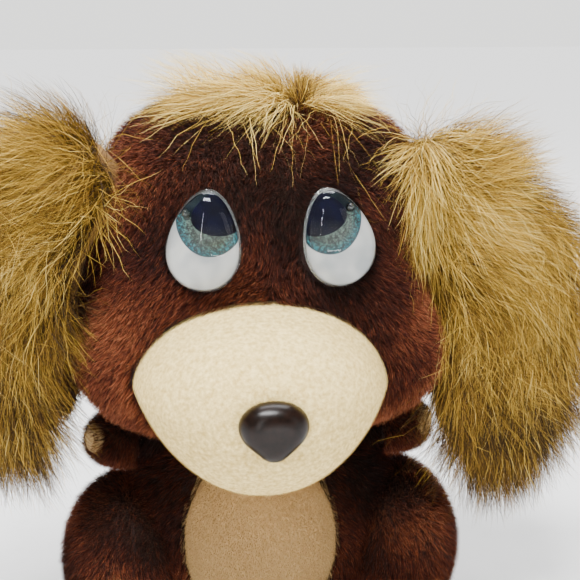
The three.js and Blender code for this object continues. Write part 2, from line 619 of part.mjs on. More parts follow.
function switchPieces() {
  const { z, slotHalf, knob, y } = SWITCH;
  const body = box([-10, 10], [y[0] - 4, BEZEL.y[0] - GAP], [z[0] - 3, z[1] + 3]).subtract(
    box([-slotHalf, slotHalf], [y[0] - 1, 80], [z[0] - GAP, z[1] + GAP]),
  );
  const start = -slotHalf + GAP;
  const slider = box([start, start + knob], y, z);
  return [meshOf("power_switch", body, MATERIALS.black), meshOf("switch_slider", slider, MATERIALS.black)];
}

function speaker() {
  const { radius, depth } = SPEAKER;
  const profile = [
    [0, 2.4], [5, 1.6], [6, 3], [radius - 3, 0.8], [radius, 0], [radius, 2.6],
    [13, 6], [12, depth - 4], [12, depth], [0, depth],
  ];
  const g = new THREE.LatheGeometry(profile.map(([r, y]) => new THREE.Vector2(r, y)), 20);
  return solid(g.translate(0, SPEAKER.y, SPEAKER.z));
}

function circuitBoard() {
  const face = BOARD.y[1];
  const sunk = face - 0.2; // each piece on the board starts a little inside it
  return box(BOARD.x, BOARD.y, BOARD.z)
    .add(box(CHIP.x, [sunk, face + CHIP.rise], CHIP.z))
    .add(rod("y", CAPACITOR.radius, [sunk, face + CAPACITOR.rise], [CAPACITOR.x, CAPACITOR.z]))
    .add(box(PLUG.x, [sunk, face + PLUG.rise], PLUG.z));
}

// A spur gear's outline: flat-topped teeth with straight flanks, thin enough to run with backlash.
function gear(teeth, [z0, z1], phase = 0) {
  const pitch = (MODULE * teeth) / 2;
  const root = pitch - 1.15 * MODULE;
  const tip = pitch + 0.9 * MODULE;
  const step = (2 * Math.PI) / teeth;
  const half = { root: 0.32 * step, tip: 0.1 * step };
  const points = [];
  for (let i = 0; i < teeth; i++) {
    const mid = i * step + phase;
    const at = (r, a) => points.push(new THREE.Vector2(r * Math.cos(mid + a), r * Math.sin(mid + a)));
    at(root, -half.root);
    at(tip, -half.tip);
    at(tip, half.tip);
    at(root, half.root);
  }
  const g = new THREE.ExtrudeGeometry(new THREE.Shape(points), { depth: z1 - z0, bevelEnabled: false });
  return solid(g.translate(0, 0, z0));
}

// The phase that puts a space of one gear where a tooth of its partner points, along the line of centres.
const meshPhase = (teeth, towards) => towards + Math.PI / teeth;

function drivePieces() {
  const towardsIdler = Math.atan2(IDLER.y, IDLER.x);
  const neckBore = rod("z", SHAFT.radius + GAP, [DECK_Z[0], FAR]);
  const neck = gear(TEETH.neck, GEAR_Z.high, towardsIdler).subtract(neckBore);
  const smallPhase = meshPhase(TEETH.idlerSmall, towardsIdler + Math.PI);
  const small = gear(TEETH.idlerSmall, [GEAR_Z.low[1] - 0.5, GEAR_Z.high[1] + 1], smallPhase);
  const large = gear(TEETH.idlerLarge, GEAR_Z.low, Math.PI); // a tooth points at the motor
  const compound = small.add(large).subtract(rod("z", IDLER.bore, [DECK_Z[0], FAR]));
  const idler = group([IDLER.x, IDLER.y, 0]);
  idler.add(
    meshOf("compound_gear", compound, MATERIALS.gear),
    meshOf("idler_axle", rod("z", IDLER.axle, AXLE_Z), MATERIALS.steel),
  );
  const motorX = IDLER.x - (MODULE * (TEETH.idlerLarge + TEETH.motor)) / 2;
  const motor = group([motorX, IDLER.y, 0]);
  const can = rod("z", MOTOR.radius, MOTOR.z)
    .add(rod("z", MOTOR.shaft, [MOTOR.z[1] - 1, MOTOR.shaftTop], [0, 0], 12));
  const pinion = gear(TEETH.motor, [GEAR_Z.low[0] - 0.5, GEAR_Z.low[1] + 0.5], meshPhase(TEETH.motor, 0))
    .subtract(rod("z", MOTOR.shaft + GAP, [DECK_Z[0], MOTOR.shaftTop + FAR]));
  motor.add(meshOf("motor", can, MATERIALS.steel), meshOf("motor_pinion", pinion, MATERIALS.gear));
  const deck = box([-CASE.halfWidth + 2.5, CASE.halfWidth - 2.5], [CASE.front + 2.5, CASE.back - 2.5], DECK_Z)
    .subtract(rod("z", MOTOR.deckHole, [0, FAR], [motorX, IDLER.y]))
    .subtract(rod("z", IDLER.bore, [0, FAR], [IDLER.x, IDLER.y]));
  const { radius, bore, bottom, flangeRadius, flangeZ } = SHAFT;
  const shaft = turned([
    [bore, bottom], [radius, bottom], [radius, flangeZ[0]], [flangeRadius, flangeZ[0]],
    [flangeRadius, flangeZ[1]], [bore, flangeZ[1]], [bore, bottom],
  ]);
  const [bushLow, lipLow] = [CASE.top - BUSH.depth, CASE.top + GAP];
  const lipTop = lipLow + BUSH.lipThick;
  const bush = turned([
    [radius + GAP, bushLow], [BUSH.radius, bushLow], [BUSH.radius, lipLow], [BUSH.lip, lipLow],
    [BUSH.lip, lipTop], [radius + GAP, lipTop], [radius + GAP, bushLow],
  ], 24);
  return [
    idler,
    motor,
    meshOf("neck_gear", neck, MATERIALS.gear),
    meshOf("gear_deck", deck, MATERIALS.casing),
    meshOf("neck_shaft", shaft, MATERIALS.casing),
    meshOf("neck_bush", bush, MATERIALS.black),
  ];
}

// ---------------------------------------------------------------- the whole puppy
const puppy = new THREE.Group();
puppy.add(head(), ...torsoPieces());
for (const [name, side] of Object.entries(SIDES)) {
  puppy.add(...armPieces(name, side), ...legPieces(name, side));
}
puppy.add(
  ...casePieces(),
  ...bayPieces(),
  ...switchPieces(),
  ...drivePieces(),
  meshOf("speaker", speaker(), MATERIALS.black),
  meshOf("circuit_board", circuitBoard(), MATERIALS.board),
);

export default puppy;
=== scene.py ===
"""The looks of a sitting plush puppy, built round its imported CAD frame.

Metres, Z up, and the face looks along -Y.
"""
import json
import math

import bmesh
import bpy
import numpy as np
from mathutils import Matrix, Vector
from mathutils.kdtree import KDTree


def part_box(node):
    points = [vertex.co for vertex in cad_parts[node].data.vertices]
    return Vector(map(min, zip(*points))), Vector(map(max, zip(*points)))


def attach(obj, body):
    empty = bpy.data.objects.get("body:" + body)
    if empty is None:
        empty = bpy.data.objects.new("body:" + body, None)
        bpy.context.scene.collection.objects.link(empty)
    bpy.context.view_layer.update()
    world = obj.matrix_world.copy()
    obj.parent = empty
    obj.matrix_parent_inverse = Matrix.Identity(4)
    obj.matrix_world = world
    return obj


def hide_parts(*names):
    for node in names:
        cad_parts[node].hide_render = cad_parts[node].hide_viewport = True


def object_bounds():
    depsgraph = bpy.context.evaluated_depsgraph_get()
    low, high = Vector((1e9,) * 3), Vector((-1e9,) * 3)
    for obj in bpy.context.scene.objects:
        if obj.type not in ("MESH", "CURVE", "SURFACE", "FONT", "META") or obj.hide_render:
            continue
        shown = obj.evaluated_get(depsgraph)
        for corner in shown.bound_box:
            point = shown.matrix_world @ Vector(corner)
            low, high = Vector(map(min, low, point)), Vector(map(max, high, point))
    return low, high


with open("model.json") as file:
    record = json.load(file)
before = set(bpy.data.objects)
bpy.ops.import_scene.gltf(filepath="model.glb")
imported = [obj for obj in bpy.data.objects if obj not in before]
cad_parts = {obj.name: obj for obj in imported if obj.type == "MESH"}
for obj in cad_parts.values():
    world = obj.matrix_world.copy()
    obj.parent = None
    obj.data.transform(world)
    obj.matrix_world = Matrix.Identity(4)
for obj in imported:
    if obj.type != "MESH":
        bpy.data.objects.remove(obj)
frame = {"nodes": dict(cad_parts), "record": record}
cad_lo, cad_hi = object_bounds()


def box(node):
    """A CAD node's lowest and highest corners."""
    return tuple(np.array(corner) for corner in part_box(node))


# ---------------------------------------------------------------- driving dimensions
MM = 0.001
SIDES = {"left": -1, "right": 1}  # as seen from the front
PILE = 9 * MM  # how far the plush stands off its cloth
NECK_PILE = 9 * MM  # how much longer it is round the neck
EAVES = 17 * MM  # how far the longest hairs may pass the CAD's sides and top

HEAD_LO, HEAD_HI = box("head_skin")
HEAD_UP, HEAD_DOWN, HEAD_X, HEAD_Y = 98 * MM, 122 * MM, 102 * MM, 90 * MM
HEAD_CENTRE = np.array([0, 0, HEAD_HI[2] - HEAD_UP])
HEAD_POWER, JOWL = 2.5, 1.2
CHEEK_SWELL, CHEEK_Z, CHEEK_SPREAD = 0.29, -76 * MM, 46 * MM
TEMPLES = (((0.74, -0.2, 0.64), 10 * MM), ((-0.72, -0.2, 0.67), 8 * MM))  # direction, and how far it swells
TEMPLE_SPREAD = 0.36
CLOTH_DEPTH = 0.75 * PILE  # how far the head's cloth lies inside its CAD solid

MUZZLE_BACK_Y = box("muzzle_cover")[1][1]
MUZZLE_CENTRE = HEAD_CENTRE + np.array([-6, -68, -65]) * MM
MUZZLE_X, MUZZLE_FRONT, MUZZLE_BACK, MUZZLE_UP, MUZZLE_DOWN = (v * MM for v in (75, 82, 34, 50, 66))
MUZZLE_POWER, CHIN, BROW = 2.2, 0.25, 0.15
NOSE_CENTRE = HEAD_CENTRE + np.array([-6, -150, -66]) * MM
NOSE_OUTLINE = [(0, 15), (8.5, 13.4), (14.6, 8.6), (16.6, 2.6), (14.6, -3.6), (9, -9.6), (3.2, -14.2)]
NOSE_SCALE = 1.12

EYE_HALF_WIDTH, EYE_HALF_HEIGHT, EYE_NARROW = 20 * MM, 28 * MM, 0.24
EYE_X, EYE_Z = 37 * MM, 21 * MM
EYE_TILT = {"left": 7, "right": 16}  # degrees that each eye's top leans outwards
IRIS_AT, IRIS_EDGE = (2, 12), (17.6, 20)  # in mm: inwards and upwards from the eye's middle, and half sizes
IRIS_RADIUS, IRIS_STEP, IRIS_TALL, DOME_HEIGHT = 17, 1.5, 1.14, 11
PUPIL_AT, PUPIL_RADII, SHADE_AT, SHADE_RADII = (5.2, 16), (12, 12.2), (-3, 23), (15, 11.5)
BEAD_AT, BEAD_RADIUS = (10.5 * MM, 13.5 * MM), 2.4 * MM

EAR_SEAM_TOP = HEAD_CENTRE + np.array([90, -40, 60]) * MM
EAR_STRETCH = {"left": (1.04, 1.0), "right": (0.95, 1.24)}
EAR_SLOPE = {"left": 0.1, "right": 0.6}  # how far its top edge falls away from the head
EAR_OVER_CHEEK = {"left": -2 * MM, "right": 7 * MM}  # how far each ear's inner edge lies over the face
EAR_SWEEP = {"left": 15 * MM, "right": 0}  # how far its lower inner edge swings out
EAR_TONE = {"left": (-0.8, 1.0), "right": (-0.25, 1.4)}  # its tone, darker on the left as painted shade, and how much paler it is at the top as painted light
EAR_PAD_Y, EAR_PAD_HALF_THICK, EAR_PAD_INSET = -36 * MM, 7 * MM, 0.84
LINING_Y, LINING_HALF_THICK, LINING_INSET = -27 * MM, 2.6 * MM, 0.83
LINING_INWARD, LINING_TOP = 9 * MM, 0.84
KNUCKLE_RADIUS, KNUCKLE_REACH = 8.5 * MM, 8 * MM
EAR_OUTLINE = [
    (88, 66), (122, 80), (166, 66), (204, 14), (218, -60), (208, -122),
    (172, -146), (138, -136), (125, -100), (120, -50), (106, -4), (90, 24),
]

TORSO_PROFILE = [(60, 2.5), (86, 14), (100, 44), (104, 76), (100, 104), (88, 128), (66, 148), (36, 160)]
TORSO_DEPTH, TORSO_Y, TORSO_MID_Z = 0.66, 2 * MM, 85 * MM
BELLY_SHIFT = -5 * MM  # the panel has been sewn a little to one side
BELLY_CENTRE_Z, BELLY_HALF_WIDTH, BELLY_HALF_HEIGHT = 82 * MM, 50 * MM, 66 * MM
BELLY_SWELL = 5.5 * MM
BEZEL_LO, BEZEL_HI = box("bay_bezel")

ARM_ROOT_X, ARM_Z = 84 * MM, 139 * MM
ARM_LEAN, ARM_LIFT = math.radians(32), math.radians(14)
ARM_RADIUS, ARM_REACH, ARM_TAPER = 15.2 * MM, 31 * MM, 0.38
PAW_RADIUS, PAW_REACH = 10 * MM, 33.5 * MM
STUB = ((52, 15), (60, 15.5), (68, 15.5), (76, 15), (80, 13))  # the shoulder's places and radii, in mm

THIGH_SIZE, THIGH_AT = (40, 55, 51), (93, -10, 57)
SHIN_FROM, SHIN_TO, SHIN_RADIUS = (96, -40, 28.5), (102, -94, 28.5), 23 * MM
TOE_FROM, TOE_TO, TOE_RADIUS = (102, -100, 26), (102, -100, 38), 21 * MM
SOLE_RADIUS = 20.5 * MM

TAIL_ROOT_Y, TAIL_LENGTH, TAIL_Z, TAIL_RISE, TAIL_RADIUS = 56 * MM, 46 * MM, 17 * MM, 6 * MM, 8.5 * MM

LENS, SENSOR, CAMERA_DISTANCE = 57.7, 36, 0.52
CAMERA_AZIMUTH, CAMERA_ELEVATION = math.radians(-6), math.radians(14)
CAMERA_TARGET = (0, -85 * MM, HEAD_CENTRE[2] + 21 * MM)
CAMERA_AIM = (0.01935, -0.05376)  # how far it looks past the target, sideways and up, by distance


# ---------------------------------------------------------------- shapes as formulas
def unit(v):
    return v / np.maximum(np.linalg.norm(v, axis=-1, keepdims=True), 1e-12)


def columns(*coordinates):
    """An array with one row for each point, from arrays of its coordinates."""
    return np.stack(coordinates, axis=1)


def bell(x, width):
    """1 in the middle, falling away smoothly over that width."""
    return np.exp(-((x / width) ** 2))


def rise(x, start, span):
    """0 up to the start, and 1 once the span is past."""
    return np.clip((x - start) / span, 0, 1)


def oval(width, height):
    """The rim of an oval with those half sizes."""
    def rim(angles):
        return columns(width * np.cos(angles), height * np.sin(angles))
    return rim


def moved(p, matrix):
    """Points taken through a 4 by 4 matrix."""
    return p @ matrix[:3, :3].T + matrix[:3, 3]


def reach(d, power):
    """How far each direction goes to meet a unit superellipsoid."""
    power = np.broadcast_to(power, (len(d), 1))
    return (np.abs(d) ** power).sum(axis=1) ** (-1 / power[:, 0])


def lumps(p, size, amount, seed=0.0):
    """A smooth uneven offset, as hand stuffing leaves, for an array of points."""
    a = np.sin(p[:, 0] / size + seed) * np.cos(p[:, 1] / size * 1.3 + seed * 1.7)
    b = np.sin(p[:, 2] / size * 0.9 + seed * 2.3 + p[:, 0] / size * 0.6)
    return amount * (a + b) / 2


def head_surface(d, grow=0.0):
    r = reach(d, HEAD_POWER + JOWL * np.clip(-1.6 * d[:, 2], 0, 1)[:, None])
    z = d[:, 2] * r * (np.where(d[:, 2] > 0, HEAD_UP, HEAD_DOWN) + grow)
    wide = 1 + CHEEK_SWELL * bell(z - CHEEK_Z, CHEEK_SPREAD)
    p = columns(d[:, 0] * r * (HEAD_X + grow) * wide, d[:, 1] * r * (HEAD_Y + grow), z)
    p += d * lumps(p, 28 * MM, 1.2 * MM, 0.4)[:, None]
    p[:, 2] = np.maximum(p[:, 2], HEAD_LO[2] - HEAD_CENTRE[2] - grow * 0.3)
    return p + HEAD_CENTRE


def muzzle_scale(d, grow):
    front = np.where(d[:, 1] < 0, MUZZLE_FRONT, MUZZLE_BACK) + grow
    high = np.where(d[:, 2] > 0, MUZZLE_UP, MUZZLE_DOWN) + grow
    return front, high


def muzzle_surface(d, grow=0.0):
    r = reach(d, MUZZLE_POWER)
    front, high = muzzle_scale(d, grow)
    narrow = 1 - CHIN * np.maximum(0, -d[:, 2] * r) - BROW * np.maximum(0, d[:, 2] * r)
    x = d[:, 0] * r * (MUZZLE_X + grow) * narrow
    p = columns(x, d[:, 1] * r * front, d[:, 2] * r * high) + MUZZLE_CENTRE
    away = np.hypot(p[:, 0] - NOSE_CENTRE[0], (p[:, 2] - NOSE_CENTRE[2]) * 1.1)
    dimple = bell(away - 17 * MM, 6 * MM) * (p[:, 1] < MUZZLE_CENTRE[1] - 40 * MM)
    crease = bell(p[:, 0] - NOSE_CENTRE[0], 4 * MM) * (p[:, 2] < NOSE_CENTRE[2] - 16 * MM)
    crease = crease * bell(p[:, 2] - NOSE_CENTRE[2] + 28 * MM, 12 * MM)
    p[:, 1] += dimple * 1.6 * MM + crease * 0.9 * MM * (d[:, 1] < 0)
    return p


def inside_muzzle(p, grow=0.0):
    """Below 1 for points inside the muzzle grown by that much."""
    q = p - MUZZLE_CENTRE
    front, high = muzzle_scale(q, grow)
    narrow = 1 - CHIN * np.clip(-q[:, 2] / high, 0, 1) - BROW * np.clip(q[:, 2] / high, 0, 1)
    scaled = columns(q[:, 0] / ((MUZZLE_X + grow) * narrow), q[:, 1] / front, q[:, 2] / high)
    return (np.abs(scaled) ** MUZZLE_POWER).sum(axis=1) ** (1 / MUZZLE_POWER)


def smooth_line(points, count, closed=False):
    """Points along a Catmull-Rom curve through the given ones."""
    p = np.asarray(points, float)
    n = len(p)
    t = np.linspace(0, n if closed else n - 1, count, endpoint=not closed)
    i = np.minimum(t.astype(int), n - 1 if closed else n - 2)
    f = (t - i)[:, None]
    a, b, c, e = [p[(i + k) % n] if closed else p[np.clip(i + k, 0, n - 1)] for k in (-1, 0, 1, 2)]
    return 0.5 * (2 * b + (c - a) * f + (2 * a - 5 * b + 4 * c - e) * f**2 + (3 * b - a - 3 * c + e) * f**3)


TORSO_RIM = smooth_line(np.array(TORSO_PROFILE) * MM, 60)


def torso_surface(d, grow=0.0):
    """The torso by direction from its middle: its profile turned round, and flattened front to back."""
    height = np.arctan2(d[:, 2], np.hypot(d[:, 0], d[:, 1]))
    rim_angle = np.arctan2(TORSO_RIM[:, 1] - TORSO_MID_Z, TORSO_RIM[:, 0])
    angle = np.concatenate([[-math.pi / 2], rim_angle, [math.pi / 2]])
    radius = np.interp(height, angle, np.concatenate([[0], TORSO_RIM[:, 0], [0]]))
    z = np.interp(height, angle, np.concatenate([[TORSO_RIM[0, 1]], TORSO_RIM[:, 1], [TORSO_RIM[-1, 1]]]))
    flat = unit(columns(d[:, 0], d[:, 1]))
    reach_out = radius + grow * np.clip(radius / (40 * MM), 0, 1)
    p = columns(
        flat[:, 0] * reach_out,
        TORSO_Y + flat[:, 1] * reach_out * TORSO_DEPTH,
        TORSO_MID_Z + (z - TORSO_MID_Z) * (1 + grow / TORSO_MID_Z),
    )
    return p + d * lumps(p, 30 * MM, 1.0 * MM, 2.0)[:, None]


# ---------------------------------------------------------------- meshes
def link(name, mesh, materials, body):
    obj = bpy.data.objects.new(name, mesh)
    bpy.context.scene.collection.objects.link(obj)
    for m in materials:
        mesh.materials.append(m)
    if body:
        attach(obj, body)
    return obj


def mesh_from(name, verts, faces):
    mesh = bpy.data.meshes.new(name)
    mesh.from_pydata([tuple(v) for v in verts], [], [tuple(f) for f in faces])
    mesh.update()
    mesh.polygons.foreach_set("use_smooth", [True] * len(mesh.polygons))
    return mesh


def ball_grid(n):
    """Directions and quads of a cube whose faces are n by n, pushed out to a sphere."""
    line = np.tan(np.linspace(-1, 1, n + 1) * math.pi / 4)
    index, dirs, quads = {}, [], []

    def at(point):
        key = tuple(np.round(point, 6))
        if key not in index:
            index[key] = len(dirs)
            dirs.append(point)
        return index[key]

    for axis in range(3):
        for side in (-1, 1):
            u, v = (axis + 1) % 3, (axis + 2) % 3
            grid = np.empty((n + 1, n + 1), int)
            for i in range(n + 1):
                for j in range(n + 1):
                    point = [0.0, 0.0, 0.0]
                    point[axis], point[u], point[v] = float(side), line[i], line[j]
                    grid[i, j] = at(tuple(point))
            for i in range(n):
                for j in range(n):
                    quad = [grid[i, j], grid[i + 1, j], grid[i + 1, j + 1], grid[i, j + 1]]
                    quads.append(quad if side > 0 else quad[::-1])
    return unit(np.array(dirs)), quads


def blob(name, surface, n, materials, body):
    dirs, quads = ball_grid(n)
    return link(name, mesh_from(name, surface(dirs), quads), materials, body)


def ring_quads(rings, sides, first=0):
    """Faces between rings of that many points, counted from the first."""
    faces = []
    for k in range(rings - 1):
        a, b = first + k * sides, first + (k + 1) * sides
        for i in range(sides):
            j = (i + 1) % sides
            faces.append((a + i, a + j, b + j, b + i))
    return faces


def polar(name, rim, heights, segments, materials, body, place):
    """A closed form of rings: heights lists (share of the rim, height in mm) from bottom to top."""
    angles = np.arange(segments) * 2 * math.pi / segments
    edge = rim(angles)
    inner = heights[1:-1]
    verts = [(x * share, y * share, z * MM) for share, z in inner for x, y in edge]
    faces = ring_quads(len(inner), segments)
    low, high, top = len(verts), len(verts) + 1, len(verts) - segments
    verts += [(0, 0, heights[0][1] * MM), (0, 0, heights[-1][1] * MM)]
    for i in range(segments):
        j = (i + 1) % segments
        faces += [(low, j, i), (top + i, top + j, high)]
    mesh = mesh_from(name, verts, faces)
    mesh.transform(place)
    return link(name, mesh, materials, body)


def tube(points, radii, sides):
    """Vertices and faces of a closed round tube along points, with a radius at each."""
    p = np.asarray(points, float)
    along = unit(np.gradient(p, axis=0))
    across = unit(np.cross(along, np.array([0.31, 0.17, 0.93])))
    over = np.cross(along, across)
    turn = np.arange(sides) * 2 * math.pi / sides
    ring = np.cos(turn)[None, :, None] * across[:, None] + np.sin(turn)[None, :, None] * over[:, None]
    verts = (p[:, None] + ring * np.asarray(radii)[:, None, None]).reshape(-1, 3)
    faces = ring_quads(len(p), sides)
    faces.append(tuple(range(sides))[::-1])
    faces.append(tuple((len(p) - 1) * sides + i for i in range(sides)))
    return verts, faces


def facing_front(at):
    """The place of a form whose height points to the front."""
    return Matrix.Translation(at) @ Matrix.Rotation(math.pi / 2, 4, "X")


def round_tube(start, end, radius):
    """A capsule between two points."""
    a, b = np.asarray(start, float), np.asarray(end, float)
    along = unit(b - a)
    angle = np.linspace(-math.pi / 2, 0, 6)
    first = [(a + along * radius * math.sin(t), radius * math.cos(t)) for t in angle]
    last = [(b - along * radius * math.sin(t), radius * math.cos(t)) for t in angle[::-1]]
    stations = first + last
    return tube([s[0] for s in stations], [max(s[1], 0.2 * MM) for s in stations], 24)


def merged(name, parts, voxel, smoothing, materials, body):
    """Overlapping closed forms melted into one soft skin."""
    verts, faces = [], []
    for v, f in parts:
        faces += [tuple(i + len(verts) for i in face) for face in f]
        verts += [tuple(x) for x in v]
    obj = link(name, mesh_from(name, verts, faces), materials, body)
    remesh = obj.modifiers.new("melt", "REMESH")
    remesh.mode = "VOXEL"
    remesh.voxel_size = voxel
    smooth = obj.modifiers.new("soften", "SMOOTH")
    smooth.iterations = smoothing
    apply_modifiers(obj)
    obj.data.polygons.foreach_set("use_smooth", [True] * len(obj.data.polygons))
    return obj


def apply_modifiers(obj):
    graph = bpy.context.evaluated_depsgraph_get()
    made = bpy.data.meshes.new_from_object(obj.evaluated_get(graph), depsgraph=graph)
    obj.modifiers.clear()
    obj.data = made


def move_points(obj, change):
    """Passes the mesh's points through a function of an array."""
    p = points_of(obj.data)
    obj.data.vertices.foreach_set("co", change(p).ravel())
    obj.data.update()


def points_of(mesh):
    p = np.empty(len(mesh.vertices) * 3)
    mesh.vertices.foreach_get("co", p)
    return p.reshape(-1, 3)


def drop_points(obj, unwanted):
    """Removes the faces whose points are all unwanted."""
    bad = unwanted(points_of(obj.data))
    bm = bmesh.new()
    bm.from_mesh(obj.data)
    bm.verts.ensure_lookup_table()
    doomed = [f for f in bm.faces if all(bad[v.index] for v in f.verts)]
    bmesh.ops.delete(bm, geom=doomed, context="FACES")
    bm.to_mesh(obj.data)
    bm.free()


def cover(obj, slot, fill, *nodes):
    """Hides the CAD nodes that a stuffed cloth piece stands for; the piece, its finish and how tight it is
    are not used.
    """
    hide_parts(*nodes)


# ---------------------------------------------------------------- materials
def srgb(*colour):
    c = np.array(colour, float) / 255
    return tuple(np.where(c < 0.04045, c / 12.92, ((c + 0.055) / 1.055) ** 2.4)) + (1.0,)


def shader(name, colour, roughness, **sockets):
    m = bpy.data.materials.new(name)
    m.use_nodes = True
    node = m.node_tree.nodes["Principled BSDF"]
    node.inputs["Base Color"].default_value = srgb(*colour)
    node.inputs["Roughness"].default_value = roughness
    for key, value in sockets.items():
        node.inputs[key.replace("_", " ").title().replace("Ior", "IOR")].default_value = value
    return m


def add(m, kind, **values):
    node = m.node_tree.nodes.new(kind)
    for key, value in values.items():
        if hasattr(node, key):
            setattr(node, key, value)
        else:
            node.inputs[key.replace("_", " ").title()].default_value = value
    return node


def wire(m, source, output, target, socket):
    m.node_tree.links.new(source.outputs[output], target.inputs[socket])


def map_range(m, low, high, to_low, to_high):
    node = add(m, "ShaderNodeMapRange")
    for key, value in (("From Min", low), ("From Max", high), ("To Min", to_low), ("To Max", to_high)):
        node.inputs[key].default_value = value
    return node


def textured(name, dark, light, scale, roughness, bump=0.2, distance=0.3 * MM, detail=4.0, **sockets):
    """A material whose colour and bump both vary with one noise; its roughness is even."""
    m = shader(name, light, roughness, **sockets)
    main = m.node_tree.nodes["Principled BSDF"]
    place = add(m, "ShaderNodeTexCoord")
    noise = add(m, "ShaderNodeTexNoise", scale=scale, detail=detail, roughness=0.6)
    ramp = add(m, "ShaderNodeValToRGB")
    ramp.color_ramp.elements[0].color = srgb(*dark)
    ramp.color_ramp.elements[1].color = srgb(*light)
    ramp.color_ramp.elements[0].position = 0.35
    ramp.color_ramp.elements[1].position = 0.65
    height = add(m, "ShaderNodeBump", strength=bump, distance=distance)
    wire(m, place, "Object", noise, "Vector")
    wire(m, noise, "Fac", ramp, "Fac")
    wire(m, ramp, "Color", main, "Base Color")
    wire(m, noise, "Fac", height, "Height")
    wire(m, height, "Normal", main, "Normal")
    return m


def fibres(name, roughness, sheen, *colours):
    """One plain material for each tone of a fur, from root to tip."""
    sockets = {"specular_ior_level": 0.15, "sheen_weight": sheen, "sheen_tint": srgb(255, 214, 176)}
    return [shader(f"{name}_{i}", colour, roughness, **sockets) for i, colour in enumerate(colours)]


BROWN = fibres("brown_fibre", 0.7, 0.06, (16, 4, 3), (36, 11, 7), (62, 23, 13), (94, 42, 24), (130, 68, 40),
               (164, 102, 66))
GOLD = fibres("gold_fibre", 0.55, 0.05, (34, 21, 4), (80, 54, 12), (130, 96, 28), (174, 138, 50),
              (205, 168, 72), (232, 202, 118))
CREAM = fibres("cream_nap", 0.9, 0.05, (186, 156, 96), (218, 188, 114), (245, 219, 144), (255, 238, 172))
TAN = fibres("tan_nap", 0.8, 0.1, (170, 138, 88), (190, 158, 104), (208, 178, 124))
# The backings are darker than their pile: painted shade for the gaps between strands.
BACKING = textured("plush_backing", (26, 9, 5), (44, 17, 9), 900, 0.9)
GOLD_BACKING = textured("gold_backing", (84, 56, 20), (120, 86, 36), 900, 0.9)
FELT = textured("felt", (210, 178, 104), (255, 231, 160), 420, 0.95, 0.8, 0.9 * MM, 9.0,
                specular_ior_level=0.1)
VELOUR = textured("tan_velour", (166, 132, 84), (194, 160, 108), 500, 0.9, 0.4, 0.4 * MM, 6.0)
SEAT = textured("seat_cloth", (38, 17, 10), (62, 29, 18), 700, 0.9, 0.4, 0.3 * MM)
NOSE = textured("nose_plastic", (14, 7, 4), (26, 14, 9), 260, 0.3, 0.06, 0.1 * MM, 3.0,
                specular_ior_level=0.22)
EYE_WHITE = textured("eye_white", (164, 170, 172), (208, 210, 206), 70, 0.35, 0.0, detail=1.0)
PUPIL = textured("pupil", (1, 2, 14), (4, 6, 32), 120, 0.5, 0.0, specular_ior_level=0.1)
# A dark sheet over the eye's top, painted shade where the dome's edge darkens it.
PAINTED_SHADE_CAP = textured("iris_painted_shade", (12, 20, 26), (26, 40, 46), 160, 0.5, 0.0, specular_ior_level=0.1)
OUTLINE = textured("iris_edge", (16, 46, 56), (22, 60, 70), 200, 0.3, 0.0)
CLEAR = shader("clear_dome", (255, 255, 255), 0.01, transmission_weight=1.0, ior=1.3)
BEAD = textured("bead", (14, 26, 26), (26, 40, 40), 60, 0.05, 0.0, coat_weight=1.0)


def glitter(name, dark, light):
    """Tinsel in clear lacquer: fine flakes, the brighter the more metallic."""
    m = textured(name, dark, light, 700, 0.28, 0.1, 0.1 * MM, 3.0)
    place = add(m, "ShaderNodeTexCoord")
    flakes = add(m, "ShaderNodeTexVoronoi", scale=1350)
    bright = map_range(m, 0, 1, 0, 0.9)
    wire(m, place, "Object", flakes, "Vector")
    wire(m, flakes, "Color", bright, "Value")
    wire(m, bright, "Result", m.node_tree.nodes["Principled BSDF"], "Metallic")
    ramp = m.node_tree.nodes["Color Ramp"]
    ramp.color_ramp.elements[1].position = 0.85
    wire(m, bright, "Result", ramp, "Fac")
    return m


IRIS_TONES = [
    glitter("iris_teal", (0, 16, 22), (40, 118, 128)),
    glitter("iris_teal_grey", (3, 18, 22), (64, 122, 126)),
    glitter("iris_grey_green", (8, 18, 17), (82, 120, 114)),
    glitter("iris_silver", (10, 15, 13), (96, 116, 106)),
]


# ---------------------------------------------------------------- fur
def scatter(obj, count, rng, keep=None):
    """Random points on a mesh with their normals, spread by area, where keep(points, normals) allows."""
    mesh = obj.data
    mesh.calc_loop_triangles()
    p = points_of(mesh)
    n = np.empty(len(mesh.vertices) * 3)
    mesh.vertex_normals.foreach_get("vector", n)
    n = n.reshape(-1, 3)
    tri = np.empty(len(mesh.loop_triangles) * 3, np.int32)
    mesh.loop_triangles.foreach_get("vertices", tri)
    tri = tri.reshape(-1, 3)
    area = np.linalg.norm(np.cross(p[tri[:, 1]] - p[tri[:, 0]], p[tri[:, 2]] - p[tri[:, 0]]), axis=1)
    pick = tri[rng.choice(len(tri), count, p=area / area.sum())]
    a, b = rng.random((2, count))
    flip = a + b > 1
    a, b = np.where(flip, 1 - a, a), np.where(flip, 1 - b, b)
    weights = columns(1 - a - b, a, b)[:, :, None]
    roots, normals = (p[pick] * weights).sum(axis=1), unit((n[pick] * weights).sum(axis=1))
    if keep is None:
        return roots, normals
    wanted = keep(roots, normals)
    return roots[wanted], normals[wanted]


def drift(p, size, seed):
    """A random sideways push for every point that changes smoothly over about that distance."""
    rng = np.random.default_rng(seed)
    waves, shifts = rng.normal(0, 1 / size, (6, 3)), rng.random((6, 3)) * 2 * math.pi
    return sum(np.sin((p @ w)[:, None] + shift) for w, shift in zip(waves, shifts)) / 2.4


